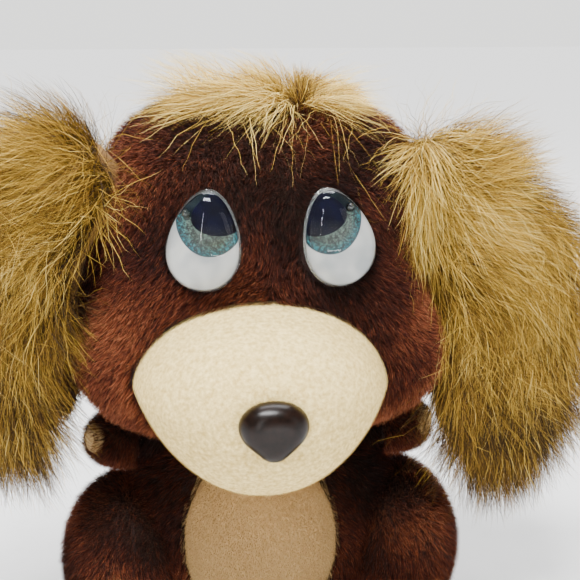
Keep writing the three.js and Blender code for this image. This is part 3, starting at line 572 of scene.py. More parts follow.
def clumped(path, roots, rng, size, pull):
    """Draws every strand towards one of a few leaders near it, more and more towards the tip."""
    count, stations = path.shape[:2]
    leaders = rng.choice(count, max(2, count // size), replace=False)
    tree = KDTree(len(leaders))
    for i, leader in enumerate(leaders):
        tree.insert(roots[leader], i)
    tree.balance()
    lead = leaders[[tree.find(r)[1] for r in roots]]
    share = (pull * np.linspace(0, 1, stations) ** 1.3)[None, :, None]
    share = share * (0.4 + 0.6 * rng.random((count, 1, 1)))
    return path + (path[lead] - path) * share


def kept_out(path):
    """Strands lie on the muzzle, the eyes and the floor instead of passing through them."""
    flat = path.reshape(-1, 3)
    depth = inside_muzzle(flat, 0.6 * MM)
    sunk = (depth < 1) & (depth > 0.3) & (flat[:, 1] < MUZZLE_CENTRE[1] + 4 * MM)
    pushed = MUZZLE_CENTRE + (flat - MUZZLE_CENTRE) / np.maximum(depth, 0.3)[:, None]
    flat = np.where(sunk[:, None], pushed, flat)
    for name in SIDES:
        place = np.array(eye_place(name))
        local = moved(flat, np.linalg.inv(place))
        share = in_egg(local[:, 0], local[:, 1], -1.2 * MM)
        sunk = (share < 1) & (local[:, 2] > -12 * MM) & (local[:, 2] < 16 * MM)
        local[:, :2] = np.where(sunk[:, None], local[:, :2] / np.maximum(share, 0.2)[:, None], local[:, :2])
        flat = np.where(sunk[:, None], moved(local, place), flat)
    flat[:, 2] = np.maximum(flat[:, 2], 0.5 * MM)
    return flat.reshape(path.shape)


def grow_strands(roots, normals, flow, length, rng, steps, tilt, lay, droop, curl, clump, clump_size):
    """Paths of strands: each leaves at a tilt from the normal, lies down along the flow and sags.

    Bunches of about clump_size strands draw together by the share clump.
    """
    count = len(roots)
    flow = unit(flow - normals * (flow * normals).sum(axis=1, keepdims=True))
    lean = (tilt + rng.normal(0, 0.2, count))[:, None]
    step = (length * (0.7 + 0.5 * rng.random(count)) / steps)[:, None]
    heading = unit(normals * np.cos(lean) + flow * np.sin(lean) + rng.normal(0, 0.16, (count, 3)))
    wave, phase = rng.normal(0, 1, (count, 3)), rng.random(count) * 2 * math.pi
    path = np.empty((count, steps + 1, 3))
    path[:, 0] = roots
    for k in range(steps):
        path[:, k + 1] = path[:, k] + heading * step
        bend = wave * (np.sin(phase + 1.9 * k)[:, None] * curl)
        heading = unit(heading + flow * lay + bend + np.array([0, 0, -droop]))
    if clump > 0:
        path = clumped(path, roots, rng, clump_size, clump)
    return kept_out(path)


def ribbons(name, path, normals, width, tones, tone, rng, materials, body):
    """Thin tapering blades along the paths; each blade's material steps from root tone to tip tone."""
    count, stations = path.shape[:2]
    steps = stations - 1
    along = unit(path[:, -1] - path[:, 0])
    face = unit(normals + rng.normal(0, 0.55, normals.shape))
    side = unit(np.cross(along, face))
    half = width * (0.6 + 0.5 * rng.random(count))[:, None] / 2
    share = 1 - 0.75 * (np.arange(steps) / steps) ** 1.5
    verts = np.empty((count, 2 * steps + 1, 3))
    for k in range(steps):
        verts[:, 2 * k] = path[:, k] - side * half * share[k]
        verts[:, 2 * k + 1] = path[:, k] + side * half * share[k]
    verts[:, -1] = path[:, -1]
    first = np.arange(count)[:, None] * (2 * steps + 1)
    loops = [first + np.array([[2 * k, 2 * k + 1, 2 * k + 3, 2 * k + 2]]) for k in range(steps - 1)]
    loops.append(first + np.array([[2 * steps - 2, 2 * steps - 1, 2 * steps]]))
    sizes = [4] * (steps - 1) + [3]
    index = np.concatenate(loops, axis=1).ravel()
    starts = (np.arange(count)[:, None] * sum(sizes) + np.cumsum([0] + sizes[:-1])[None]).ravel()
    paler = np.linspace(0, tones, steps)
    shade = np.round(tone[:, None] + paler[None] + rng.normal(0, 0.35, (count, 1)))
    shade = np.clip(shade, 0, len(materials) - 1).ravel().astype(np.int32)
    mesh = bpy.data.meshes.new(name)
    mesh.vertices.add(count * (2 * steps + 1))
    mesh.vertices.foreach_set("co", verts.ravel())
    mesh.loops.add(len(index))
    mesh.loops.foreach_set("vertex_index", index.astype(np.int32))
    mesh.polygons.add(len(starts))
    mesh.polygons.foreach_set("loop_start", starts.astype(np.int32))
    mesh.update(calc_edges=True)
    obj = link(name, mesh, materials, body)
    mesh.polygons.foreach_set("material_index", shade)
    return obj


def fewer(count):
    return count


def plush(name, obj, count, flow, body, seed, keep=None, length=9.5 * MM, width=0.32 * MM, steps=3, tilt=0.42,
          lay=0.22, droop=0.04, curl=0.2, clump=0.4, materials=BROWN, lighter=None,
          longer=None):
    """Short standing pile over a whole piece, brushed this way and that, in lighter and darker patches."""
    rng = np.random.default_rng(seed)
    roots, normals = scatter(obj, fewer(count), rng, keep)
    nap = unit(flow(roots, normals)) + 0.5 * drift(roots, 14 * MM, seed + 500)
    if longer is not None:
        length = length + longer(roots)
    path = grow_strands(roots, normals, nap, length, rng, steps, tilt, lay, droop, curl, clump, 9)
    patch = drift(roots, 15 * MM, seed + 900)[:, 0] * 0.8
    tone = 0.7 + patch + rng.normal(0, 0.8, len(roots))
    # lighter, where given, adds painted light and shade to the tone.
    if lighter is not None:
        tone = tone + lighter(roots)
    fur = ribbons(name, path, normals, width, 2.3, tone, rng, materials, body)


# ---------------------------------------------------------------- the eyes
def eye_place(name):
    """The matrix of one eye: Z out of the face, Y up the eye."""
    side = SIDES[name]
    x, z = EYE_X / HEAD_X, EYE_Z / HEAD_UP
    y = (1 - x**HEAD_POWER - z**HEAD_POWER) ** (1 / HEAD_POWER)
    p = HEAD_POWER - 1
    out = Vector((side * x**p / HEAD_X, -(y**p) / HEAD_Y, z**p / HEAD_UP)).normalized()
    across = Vector((0, 0, 1)).cross(out).normalized()
    up = out.cross(across)
    turn = Matrix((across, up, out)).transposed().to_4x4()
    origin = HEAD_CENTRE + np.array([side * EYE_X, -HEAD_Y * y + PILE - 4 * MM, EYE_Z])
    return Matrix.Translation(origin) @ turn @ Matrix.Rotation(math.radians(side * EYE_TILT[name]), 4, "Z")


def egg(angles, grow=0.0):
    """The eye's outline."""
    x = (EYE_HALF_WIDTH + grow) * np.cos(angles) * (1 - EYE_NARROW * np.sin(angles))
    return columns(x, (EYE_HALF_HEIGHT + grow) * np.sin(angles))


def in_egg(x, y, grow=0.0):
    """Below 1 inside the eye's outline."""
    s = np.clip(y / (EYE_HALF_HEIGHT + grow), -1, 1)
    return np.hypot(x / ((EYE_HALF_WIDTH + grow) * (1 - EYE_NARROW * s)), y / (EYE_HALF_HEIGHT + grow))


def clipped_disc(centre, radii, limit, point=0.0):
    """The rim of an oval, pointed upwards by that much, held inside the eye's outline shrunk by limit."""
    def rim(angles):
        across = np.cos(angles) * radii[0] * (1 - point * np.sin(angles))
        ray = columns(across, np.sin(angles) * radii[1])
        low, high = np.zeros(len(angles)), np.ones(len(angles))
        for _ in range(24):
            middle = (low + high) / 2
            p = centre + ray * middle[:, None]
            inside = in_egg(p[:, 0], p[:, 1], -limit) < 1
            low, high = np.where(inside, middle, low), np.where(inside, high, middle)
        return ray * low[:, None]
    return rim


def make_eye(name):
    """A white back, an edged iris of four glitter rings, a pupil, a top with painted shade, a bead and a
    clear dome.
    """
    side = SIDES[name]
    place = eye_place(name)

    def plate(kind, rim, low, high, look, centre=(0, 0)):
        heights = [(0, low), (0.5, low), (1, low), (1, high - 0.25), (0.985, high), (0.5, high), (0, high)]
        at = place @ Matrix.Translation((*centre, 0))
        piece = polar(f"eye_{kind}", rim, heights, 96, [look], "head", at)
        return piece

    def printed(kind, inwards, up, radii, margin, low, high, look, point=0.0):
        centre = np.array([-side * inwards, up]) * MM
        rim = clipped_disc(centre, np.array(radii) * MM, margin * MM, point)
        return plate(kind, rim, low, high, look, centre)

    back = plate(f"white_{name}", lambda angles: egg(angles, -1.9 * MM), 0, 2.4, EYE_WHITE)
    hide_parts(f"eye_back_{name}")
    printed(f"iris_edge_{name}", *IRIS_AT, IRIS_EDGE, 1.9, 2.5, 2.6, OUTLINE)
    for number, tone in enumerate(IRIS_TONES):
        size, low = IRIS_RADIUS - IRIS_STEP * number, 2.62 + 0.03 * number
        radii = (size, size * IRIS_TALL)
        ring = printed(f"iris_{name}_{number + 1}", *IRIS_AT, radii, 2.1, low, low + 0.06, tone)
        if number == 0:
            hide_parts(f"eye_print_{name}")
    printed(f"pupil_{name}", *PUPIL_AT, PUPIL_RADII, 1.6, 3.0, 3.3, PUPIL, 0.4)
    # The cap is painted shade over the top of the eye.
    printed(f"cap_{name}", *SHADE_AT, SHADE_RADII, 1.7, 2.85, 2.95, PAINTED_SHADE_CAP)
    heights = [(0, 3.0), (1, 3.0), (1, 4.2), (0.7, 5.2), (0.3, 5.5), (0, 5.6)]
    at = place @ Matrix.Translation((side * BEAD_AT[0], BEAD_AT[1], 0))
    bead = polar(f"eye_bead_{name}", oval(BEAD_RADIUS, BEAD_RADIUS), heights, 32, [BEAD], "head", at)
    heights = [(0, 1), (0.6, 1), (1.035, 1), (1.035, 2.2), (1.02, 2.5), (1.0, 2.2), (0.99, 3.4)]
    heights += [(math.cos(t), 3.7 + DOME_HEIGHT * math.sin(t)) for t in np.linspace(0, math.pi / 2, 14)]
    lens = polar(f"eye_dome_{name}", egg, heights, 96, [CLEAR], "head", place)
    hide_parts(f"eye_lens_{name}")


def clear_of_eyes(p, grow):
    """True for points outside both eyes' outlines."""
    clear = np.ones(len(p), bool)
    for name in SIDES:
        local = moved(p, np.array(eye_place(name).inverted()))
        clear &= (in_egg(local[:, 0], local[:, 1], grow) >= 1) | (np.abs(local[:, 2]) >= 25 * MM)
    return clear


# ---------------------------------------------------------------- the head
def head_flow(p, n):
    """The nap runs down and outwards from above the crown."""
    return p - (HEAD_CENTRE + np.array([0, 10, HEAD_UP / MM + 60]) * MM)


def face_painted_light(p):
    """Painted light and shade on the pile: painted shade darkest over the brow, painted rim light palest on
    the cheeks and round the outline, and a little painted shade over the right half.
    """
    brow = np.exp(-(((p[:, 2] - HEAD_CENTRE[2] - 42 * MM) / (34 * MM)) ** 2) - (p[:, 0] / (62 * MM)) ** 2)
    rim = rise(np.abs(p[:, 0]), 70 * MM, 30 * MM)
    return 0.9 * rim - 2.3 * brow + np.where(p[:, 0] > 0, -0.25, 0.1)


def body_painted_shade(p):
    """The body's pile is a shade deeper, most of all under the chin: painted shade for the head's shadow."""
    return -0.6 - 0.9 * rise(p[:, 2], 90 * MM, 50 * MM) * (p[:, 1] < 0)


def head_skin_shape(d):
    """The head's cloth, a little fuller at the temples, as the stuffing has settled."""
    p = head_surface(d, -CLOTH_DEPTH)
    for direction, swell in TEMPLES:
        away = np.arccos(np.clip(d @ unit(np.array(direction)), -1, 1))
        p = p + d * (swell * bell(away, TEMPLE_SPREAD))[:, None]
    return p


def make_head():
    skin = blob("head_plush", head_skin_shape, 56, [BACKING], "head")
    cover(skin, "brown_plush", 0.9, "head_skin", "head_stuffing")

    def grow(name, count, seed, panel):
        def keep(p, n):
            open_skin = (inside_muzzle(p, 1.5 * MM) > 1) & clear_of_eyes(p, 1.2 * MM)
            return open_skin & (p[:, 2] > HEAD_LO[2] + 4 * MM) & panel(p, n)
        # The face's pile gets painted shade over the brow and painted rim light round the outline.
        plush(name, skin, count, head_flow, "head", seed, keep, clump=0.6, lighter=face_painted_light)

    crown_back, facing = 12 * MM, -0.35
    grow("head_fur_face", 400000, 11, lambda p, n: n[:, 1] < facing)
    grow("head_fur_crown", 190000, 12, lambda p, n: (n[:, 1] >= facing) & (p[:, 1] < crown_back))
    grow("head_fur_back", 120000, 13, lambda p, n: (n[:, 1] >= facing) & (p[:, 1] >= crown_back))


def make_muzzle():
    felt = blob("muzzle_felt", muzzle_surface, 64, [FELT], "head")
    cover(felt, "cream_felt", 0.95, "muzzle_cover")

    def shows(p, n):
        return p[:, 1] < MUZZLE_BACK_Y + 6 * MM

    def swirl(p, n):
        return columns(np.sin(p[:, 2] * 300), np.cos(p[:, 0] * 260), np.sin(p[:, 0] * 340))

    # Paler towards the top and darker towards the bottom: painted light from above and painted shade below.
    def painted_light_above(p):
        return np.clip((p[:, 2] - NOSE_CENTRE[2] - 4 * MM) / (34 * MM), -1.3, 1) * 1.6 - 0.1

    plush("muzzle_nap", felt, 85000, swirl, "head", 31, shows, length=1.1 * MM, width=0.16 * MM, steps=2,
          tilt=0.8, lay=0.6, droop=0, curl=0.5, clump=0, materials=CREAM,
          lighter=painted_light_above)


def nose_rim(angles):
    """A rounded triangle that points down, counted anticlockwise."""
    right = np.array(NOSE_OUTLINE) * NOSE_SCALE * MM
    left = right[1:][::-1] * np.array([-1, 1])
    return smooth_line(np.concatenate([right, left])[::-1], len(angles), closed=True)


def make_nose():
    """A shallow dome with a tucked-in rim, squarer than a ball."""
    arc = np.linspace(0, math.pi / 2, 16)[:-1]
    heights = [(0, -8), (0.55, -8), (0.9, -5), (1.0, -2)]
    heights += [(math.cos(t) ** 0.62, 10.5 * math.sin(t) ** 1.15) for t in arc]
    heights += [(0, 10.6)]
    place = facing_front(NOSE_CENTRE + np.array([0, 1.5 * MM, 0]))
    nose = polar("nose_button", nose_rim, heights, 96, [NOSE], "head", place)
    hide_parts("nose")


# ---------------------------------------------------------------- the ears and the tuft
def ear_rim(name):
    """One ear's outline round the head's centre, seen from the front."""
    side = SIDES[name]
    up, down = EAR_STRETCH[name]
    rim = smooth_line(EAR_OUTLINE, 140, closed=True) * MM
    outer = rise(rim[:, 0], 112 * MM, 80 * MM)
    rim[:, 1] *= np.where(rim[:, 1] > 0, up - EAR_SLOPE[name] * outer, down)
    return columns(side * rim[:, 0], rim[:, 1])


def ear_core(name, inset, middle_y, thick, inward, sweep, top=1.0):
    """A soft flap inside the ear's outline, drawn in towards its seam: vertices and faces."""
    rim = ear_rim(name)
    seam = np.array([SIDES[name] * (EAR_SEAM_TOP[0] - 2 * MM), EAR_SEAM_TOP[2] - HEAD_CENTRE[2] - 14 * MM])
    rim = seam + (rim - seam) * inset
    inner = np.clip((135 * MM - np.abs(rim[:, 0])) / (30 * MM), 0, 1)
    low = np.clip((-30 * MM - rim[:, 1]) / (60 * MM), 0, 1)
    rim[:, 0] += SIDES[name] * inner * (sweep * low - inward)
    if top < 1:
        rim[:, 1] *= np.where(rim[:, 1] > 0, top, 1)
        rim[:, 1] = np.minimum(rim[:, 1], 38 * MM + np.maximum(np.abs(rim[:, 0]) - 100 * MM, 0))
    centre = rim.mean(axis=0)
    rings = 14
    verts, faces, count = [], [], len(rim)
    for face_side in (-1, 1):
        for k in range(rings):
            share = math.sin((k + 1) / rings * math.pi / 2)
            bulge = math.sqrt(max(0.0, 1 - share**2)) * thick + 1.2 * MM * (1 - (k + 1) / rings)
            for x, z in centre + (rim - centre) * share:
                verts.append((x, middle_y + face_side * bulge, HEAD_CENTRE[2] + z))
    for face_side in (0, 1):
        base = face_side * rings * count
        quads = ring_quads(rings, count, base)
        faces += quads if face_side else [quad[::-1] for quad in quads]
        cap = tuple(base + i for i in range(count))
        faces.append(cap[::-1] if face_side else cap)
    for i in range(count):
        j = (i + 1) % count
        a, b = (rings - 1) * count, (2 * rings - 1) * count
        faces.append((a + i, b + i, b + j, a + j))
    return verts, faces


def ear_flow(name):
    """Fur leaves the seam sideways and turns down the lower and further out it is, or at the right cheek."""
    side = SIDES[name]
    top = HEAD_CENTRE[2] + 80 * MM

    def flow(p, n):
        fall = np.clip((top - p[:, 2]) / (150 * MM), 0, 1.2)
        fall = fall + 0.35 * rise(side * p[:, 0], 110 * MM, 90 * MM)
        angle = np.radians(12 - 92 * np.clip(fall, 0, 1))
        sideways = side * np.cos(angle)
        over_cheek = (side * p[:, 0] < 101 * MM) & (name == "right")
        sideways = np.where(over_cheek, -0.12, sideways)
        return columns(sideways, np.zeros(len(p)), np.where(over_cheek, -1.0, np.sin(angle)))
    return flow


# Each layer of long hair: length, lean from the cloth, strands, curl, how strongly it tufts, and its tone.
EAR_LAYERS = [
    (34 * MM, 1.0, 10000, 0.18, 0.3, -0.5),
    (54 * MM, 0.95, 16000, 0.22, 0.5, 0.4),
    (46 * MM, 0.8, 13000, 0.28, 0.55, 1.0),
    (52 * MM, 0.7, 2600, 0.36, 0.0, 2.2),
]
TUFT_LAYERS = [
    (26 * MM, 1.2, 7000, 0.2, 0.5, 0.2),
    (40 * MM, 1.15, 5500, 0.22, 0.6, 0.8),
    (50 * MM, 0.9, 1100, 0.34, 0.0, 2.0),
]


def soft_limit(x, limit):
    """Values past the limit are drawn in, so that none is more than EAVES past it."""
    over = np.maximum(x - limit, 0)
    return x - (over - EAVES * np.tanh(over / EAVES))


def long_hair(name, roots, normals, flow, layer, shades, seed, body):
    """Wavy fur in tufts that point different ways, darker at the roots, and paler higher up as painted light
    from above.
    """
    length, tilt, _, curl, clump, light = layer
    shade, contrast = shades
    rng = np.random.default_rng(seed)
    nap = unit(flow) + 0.5 * drift(roots, 18 * MM, seed + 7) + 0.45 * drift(roots, 6 * MM, seed + 8)
    nap = nap + rng.normal(0, 0.28, roots.shape)
    normals = unit(normals + np.array([0, -0.7, 0]))
    path = grow_strands(roots, normals, nap, length, rng, 7, tilt, 0.2, 0.07, curl, clump, 14)
    path[:, :, 0] = np.sign(path[:, :, 0]) * soft_limit(np.abs(path[:, :, 0]), cad_hi[0])
    path[:, :, 2] = soft_limit(path[:, :, 2], cad_hi[2])
    height = np.clip((roots[:, 2] - HEAD_CENTRE[2] + 10 * MM) / (90 * MM), -1, 1)
    patch = drift(roots, 9 * MM, seed + 9)[:, 0]
    # The left ear's lower tone is painted shade, and the paler top is painted light.
    tone = light + shade + contrast * height + patch + rng.normal(0, 0.9, len(roots))
    hair = ribbons(name, path, normals, 0.32 * MM, 2.2, tone, rng, GOLD, body)
    return hair


def make_ear(name):
    """A long-haired pad with a knuckle at its pivot, and a short-piled lining behind it."""
    side, body = SIDES[name], f"ear_{name}"
    pad = ear_core(name, EAR_PAD_INSET, EAR_PAD_Y, EAR_PAD_HALF_THICK, EAR_OVER_CHEEK[name], EAR_SWEEP[name])
    pivot = EAR_SEAM_TOP * np.array([side, 1, 1])
    below, beside = np.array([0, 0, KNUCKLE_REACH]), np.array([side * KNUCKLE_REACH, 0, 0])
    knuckle = round_tube(pivot - below, pivot + beside, KNUCKLE_RADIUS)
    core = merged(f"ear_pad_{name}", [pad, knuckle], 2.5 * MM, 6, [GOLD_BACKING], body)
    cover(core, "gold_fur", 0.5, f"ear_fur_{name}")
    back = ear_core(name, LINING_INSET, LINING_Y, LINING_HALF_THICK, LINING_INWARD, 0, LINING_TOP)
    lining = merged(f"ear_lining_plush_{name}", [back], 1.8 * MM, 3, [BACKING], body)
    cover(lining, "brown_plush", 0.3, f"ear_lining_{name}")
    flow = ear_flow(name)
    seed = 41 if name == "left" else 51
    seam_x = EAR_SEAM_TOP[0] - 4 * MM

    def front(p, n):
        turned_in = -0.5
        if name == "left":
            turned_in = np.where(p[:, 2] < HEAD_CENTRE[2] - 30 * MM, -0.05, -0.3)
        facing = (n[:, 1] < 0.8) | (p[:, 2] > HEAD_CENTRE[2] + 34 * MM)
        return (side * p[:, 0] > seam_x) & facing & (side * n[:, 0] > turned_in)

    for number, layer in enumerate(EAR_LAYERS):
        count = fewer(layer[2])
        rng = np.random.default_rng(seed + 20 * number)
        roots, normals = scatter(core, count * 2, rng, front)
        roots, normals = roots[:count], normals[:count]
        hair = f"ear_hair_{name}_{number + 1}"
        long_hair(hair, roots, normals, flow(roots, normals), layer, EAR_TONE[name], seed + number, body)

    def behind(p, n):
        return (side * p[:, 0] > seam_x) & ((n[:, 1] > -0.1) | (side * p[:, 0] < 128 * MM))

    # The lining's pile that faces the pad is darker: painted shade between pad and lining.
    def painted_shade_behind_pad(p):
        return np.where(p[:, 1] < LINING_Y, -1.2, -0.2)

    plush(f"ear_lining_fur_{name}", lining, 75000, flow, body, seed + 5, behind, length=9 * MM,
          lighter=painted_shade_behind_pad)


def make_tuft():
    """Long hair set in the crown's seam, parted a little to the right: most of it lies to the left."""
    part = 22 * MM
    reach_left, reach_right, share_left = 66 * MM, 14 * MM, 0.72
    for number, layer in enumerate(TUFT_LAYERS):
        rng = np.random.default_rng(61 + number)
        count = fewer(layer[2])
        to_left = rng.random(count) < share_left
        share = rng.beta(1.0, 1.5, count)
        x = part + np.where(to_left, -reach_left, reach_right) * share
        seam = -23 * MM - 6 * MM * np.cos(x / (30 * MM)) + rng.normal(0, 6 * MM, count)
        up = np.sqrt(np.maximum(0.1, 1 - (x / HEAD_X) ** 2))
        roots = head_surface(unit(columns(x / HEAD_X, seam / HEAD_Y, up)), 2 * MM - CLOTH_DEPTH)
        normals = unit(roots - HEAD_CENTRE)
        flow = np.where(to_left[:, None], np.array([-1.0, 0.22, -0.1]), np.array([1.0, 0.5, 0.3]))
        name = f"crown_hair_{number + 1}"
        hair = long_hair(name, roots, normals, flow, layer, EAR_TONE["right"], 64 + number, "head")
        if number == 0:
            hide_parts("crown_tuft")
    make_wisps(part)


def make_wisps(part):
    """A few single hairs that hang from the tuft over the forehead."""
    rng = np.random.default_rng(67)
    few = 26
    x = part + rng.normal(-4 * MM, 24 * MM, few)
    d = unit(columns(x / HEAD_X, rng.uniform(-0.62, -0.4, few), np.full(few, 0.8)))
    roots = head_surface(d)
    normals = unit(roots - HEAD_CENTRE)
    flow = columns(rng.normal(0, 0.4, few), np.full(few, -0.5), np.full(few, -1.0))
    path = grow_strands(roots, normals, flow, 62 * MM, rng, 12, 1.1, 0.32, 0.05, 0.26, 0, 1)
    wisps = ribbons("crown_wisps", path, normals, 0.2 * MM, 1.2, np.full(few, 3.4), rng, GOLD, "head")


# ---------------------------------------------------------------- the body
def down_flow(p, n):
    """The nap runs down, and a little outwards."""
    return np.array([0, 0, -1.0]) + 0.25 * n * np.array([1, 1, 0])


def at_opening(p, margin):
    """True for points over the battery bay's opening in the back."""
    across = (p[:, 0] > BEZEL_LO[0] - margin) & (p[:, 0] < BEZEL_HI[0] + margin)
    return across & (p[:, 2] > BEZEL_LO[2] - margin) & (p[:, 2] < BEZEL_HI[2] + margin) & (p[:, 1] > 40 * MM)


def in_belly(p, margin):
    """Below 1 over the tan panel."""
    across = (p[:, 0] - BELLY_SHIFT) / (BELLY_HALF_WIDTH + margin)
    up = (p[:, 2] - BELLY_CENTRE_Z) / (BELLY_HALF_HEIGHT + margin)
    return np.where(p[:, 1] < 0, np.hypot(across, up), math.inf)


def torso_skin_shape(d):
    """The torso's cloth, drawn up to the bezel at the back and open where the battery bay is."""
    p = torso_surface(d, -PILE)
    across = np.maximum(np.abs(p[:, 0]) - BEZEL_HI[0], 0)
    above = np.maximum(np.maximum(BEZEL_LO[2] - p[:, 2], p[:, 2] - BEZEL_HI[2]), 0)
    near = bell(np.hypot(across, above), 14 * MM) * (p[:, 1] > 30 * MM)
    p[:, 1] += np.maximum(0, BEZEL_LO[1] - 2 * MM - p[:, 1]) * near
    pocket = at_opening(p, -3 * MM)
    p[:, 1] = np.where(pocket, np.minimum(p[:, 1], BEZEL_LO[1] - 1.5 * MM), p[:, 1])
    return p


def belly_shape(d):
    """The torso's surface, pushed out a little where the tan panel's oval is."""
    p = torso_surface(d, -PILE)
    swell = np.clip(1 - in_belly(p, 0) ** 4, 0, 1) * (p[:, 1] < 0)
    return p + d * (swell * BELLY_SWELL)[:, None]


def neck_ruff(p):
    """How much longer the pile is round the neck, where it closes the gap under the head."""
    return NECK_PILE * rise(p[:, 2], 138 * MM, 8 * MM)


def make_torso():
    """The body's cloth with a stub at each shoulder, and the tan panel in front."""
    dirs, quads = ball_grid(48)
    shapes = [(torso_skin_shape(dirs), quads)]
    for side in SIDES.values():
        stations = [np.array([side * x * MM, 0, ARM_Z]) for x, _ in STUB]
        shapes.append(tube(stations, [radius * MM for _, radius in STUB], 32))
    skin = merged("torso_plush", shapes, 2.6 * MM, 3, [BACKING], "torso")
    cover(skin, "brown_plush", 0.8, "torso_skin", "torso_stuffing")
    panel = blob("belly_velour", belly_shape, 48, [VELOUR], "torso")
    drop_points(panel, lambda p: in_belly(p, 1 * MM) > 1)
    cover(panel, "tan_velour", 0.6, "belly_panel")

    def bare(p, n):
        return (in_belly(p, -1 * MM) > 1) & ~at_opening(p, 1 * MM) & (p[:, 2] > 6 * MM)

    # The front's pile is darker, painted shade, most of all under the chin.
    plush("torso_fur_front", skin, 150000, down_flow, "torso", 71, lambda p, n: bare(p, n) & (p[:, 1] < 0),
          lighter=body_painted_shade, longer=neck_ruff)
    plush("torso_fur_back", skin, 90000, down_flow, "torso", 72, lambda p, n: bare(p, n) & (p[:, 1] >= 0),
          longer=neck_ruff)
    plush("belly_nap", panel, 60000, down_flow, "torso", 73, length=1.8 * MM, width=0.2 * MM, steps=2,
          clump=0.3, materials=TAN)


def make_leg(name):
    """A thigh, a shin and an upright toe in one cloth, flat underneath, with a velour sole."""
    side = np.array([SIDES[name], 1, 1])
    dirs, quads = ball_grid(14)
    thigh = dirs * np.array(THIGH_SIZE) * MM + side * THIGH_AT * MM
    shin = round_tube(side * SHIN_FROM * MM, side * SHIN_TO * MM, SHIN_RADIUS)
    toe = round_tube(side * TOE_FROM * MM, side * TOE_TO * MM, TOE_RADIUS)
    leg = merged(f"leg_plush_{name}", [(thigh, quads), shin, toe], 3.5 * MM, 12, [BACKING], "torso")
    move_points(leg, lambda p: np.column_stack([p[:, 0], p[:, 1], np.maximum(p[:, 2], 3 * MM)]))
    cover(leg, "brown_plush", 0.7, f"leg_{name}")
    lo, hi = box(f"foot_sole_{name}")
    middle = (lo + hi) / 2
    place = facing_front((middle[0], hi[1], middle[2]))
    heights = [(0, -4), (0.9, -4), (1, -2), (1, 0), (0.93, 1.4), (0.7, 2.5), (0, 3)]
    sole = polar(f"sole_velour_{name}", oval(SOLE_RADIUS, SOLE_RADIUS), heights, 64, [VELOUR], "torso", place)
    cover(sole, "tan_velour", 0.5, f"foot_sole_{name}")

    def bare(p, n):
        under_sole = (np.hypot(p[:, 0] - middle[0], p[:, 2] - middle[2]) < 18 * MM) & (p[:, 1] < -100 * MM)
        return ~under_sole & (p[:, 2] > 4 * MM)

    def along_leg(p, n):
        return np.array([0, -0.8, -0.7])

    plush(f"leg_fur_{name}", leg, 75000, along_leg, "torso", 81 + SIDES[name], bare)


def make_arm(name):
    """A short arm, cut flat where it meets the shoulder, with a round pad on its end."""
    side, body = SIDES[name], f"arm_{name}"
    root = np.array([side * ARM_ROOT_X, 0, ARM_Z])
    along = unit(np.array([side * math.cos(ARM_LEAN), -math.sin(ARM_LEAN), math.tan(ARM_LIFT)]))
    stations = np.linspace(-0.45, 1, 20)
    points = [root + along * (1 * MM + ARM_REACH * s) for s in stations]
    taper = [1 - ARM_TAPER * max(0, s - 0.4) for s in stations]
    rounding = [math.sqrt(max(0.3, 1 - max(0, s) ** 8)) for s in stations]
    radii = [ARM_RADIUS * narrow * end for narrow, end in zip(taper, rounding)]
    arm = merged(f"arm_plush_{name}", [tube(points, radii, 28)], 1.8 * MM, 6, [BACKING], body)
    flat_end = ARM_ROOT_X - 0.6 * MM
    move_points(arm, lambda p: np.column_stack([side * np.maximum(side * p[:, 0], flat_end), p[:, 1:]]))
    cover(arm, "brown_plush", 0.6, f"arm_{name}")
    turn = Vector(along).to_track_quat("Z", "Y").to_matrix().to_4x4()
    place = Matrix.Translation(root + along * PAW_REACH) @ turn
    heights = [(0, -3), (0.9, -3), (1, -1), (0.94, 1.2), (0.7, 2.8), (0, 3.6)]
    pad = polar(f"paw_velour_{name}", oval(PAW_RADIUS, PAW_RADIUS), heights, 48, [VELOUR], body, place)
    cover(pad, "tan_velour", 0.5, f"paw_pad_{name}")

    def outward(p, n):
        return np.broadcast_to(along, p.shape) * 0.8 + np.array([0, 0, -0.4])

    def off_tip(p, n):
        return ((p - root) @ along < PAW_REACH - 2 * MM) & (side * p[:, 0] > ARM_ROOT_X + 0.4 * MM)

    plush(f"arm_fur_{name}", arm, 24000, outward, body, 91 + side, off_tip, length=9 * MM)


def make_seat():
    """The cloth the puppy sits on, with a rounded hem."""
    lo, hi = box("seat_panel")
    middle, half, thick = (lo + hi) / 2, (hi - lo) / 2, (hi[2] - lo[2]) / MM
    place = Matrix.Translation((middle[0], middle[1], lo[2]))
    heights = [(0, 0.4), (0.9, 0.3), (0.97, 0.7), (1, 0.5 * thick), (0.97, thick), (0, thick)]
    seat = polar("seat_cloth", oval(half[0], half[1]), heights, 72, [SEAT], "torso", place)
    cover(seat, "brown_plush", 0.3, "seat_panel")


def make_tail():
    stations = np.linspace(0, 1, 18)
    points = [np.array([0, TAIL_ROOT_Y + s * TAIL_LENGTH, TAIL_Z + TAIL_RISE * s]) for s in stations]
    radii = [TAIL_RADIUS * (1 - 0.35 * s) * math.sqrt(max(0.03, 1 - s**6)) for s in stations]
    tail = merged("tail_plush", [tube(points, radii, 20)], 1.6 * MM, 5, [BACKING], "torso")
    cover(tail, "brown_plush", 0.7, "tail")

    def backwards(p, n):
        return np.array([0, 1.0, -0.2])

    plush("tail_fur", tail, 16000, backwards, "torso", 99, length=9 * MM)


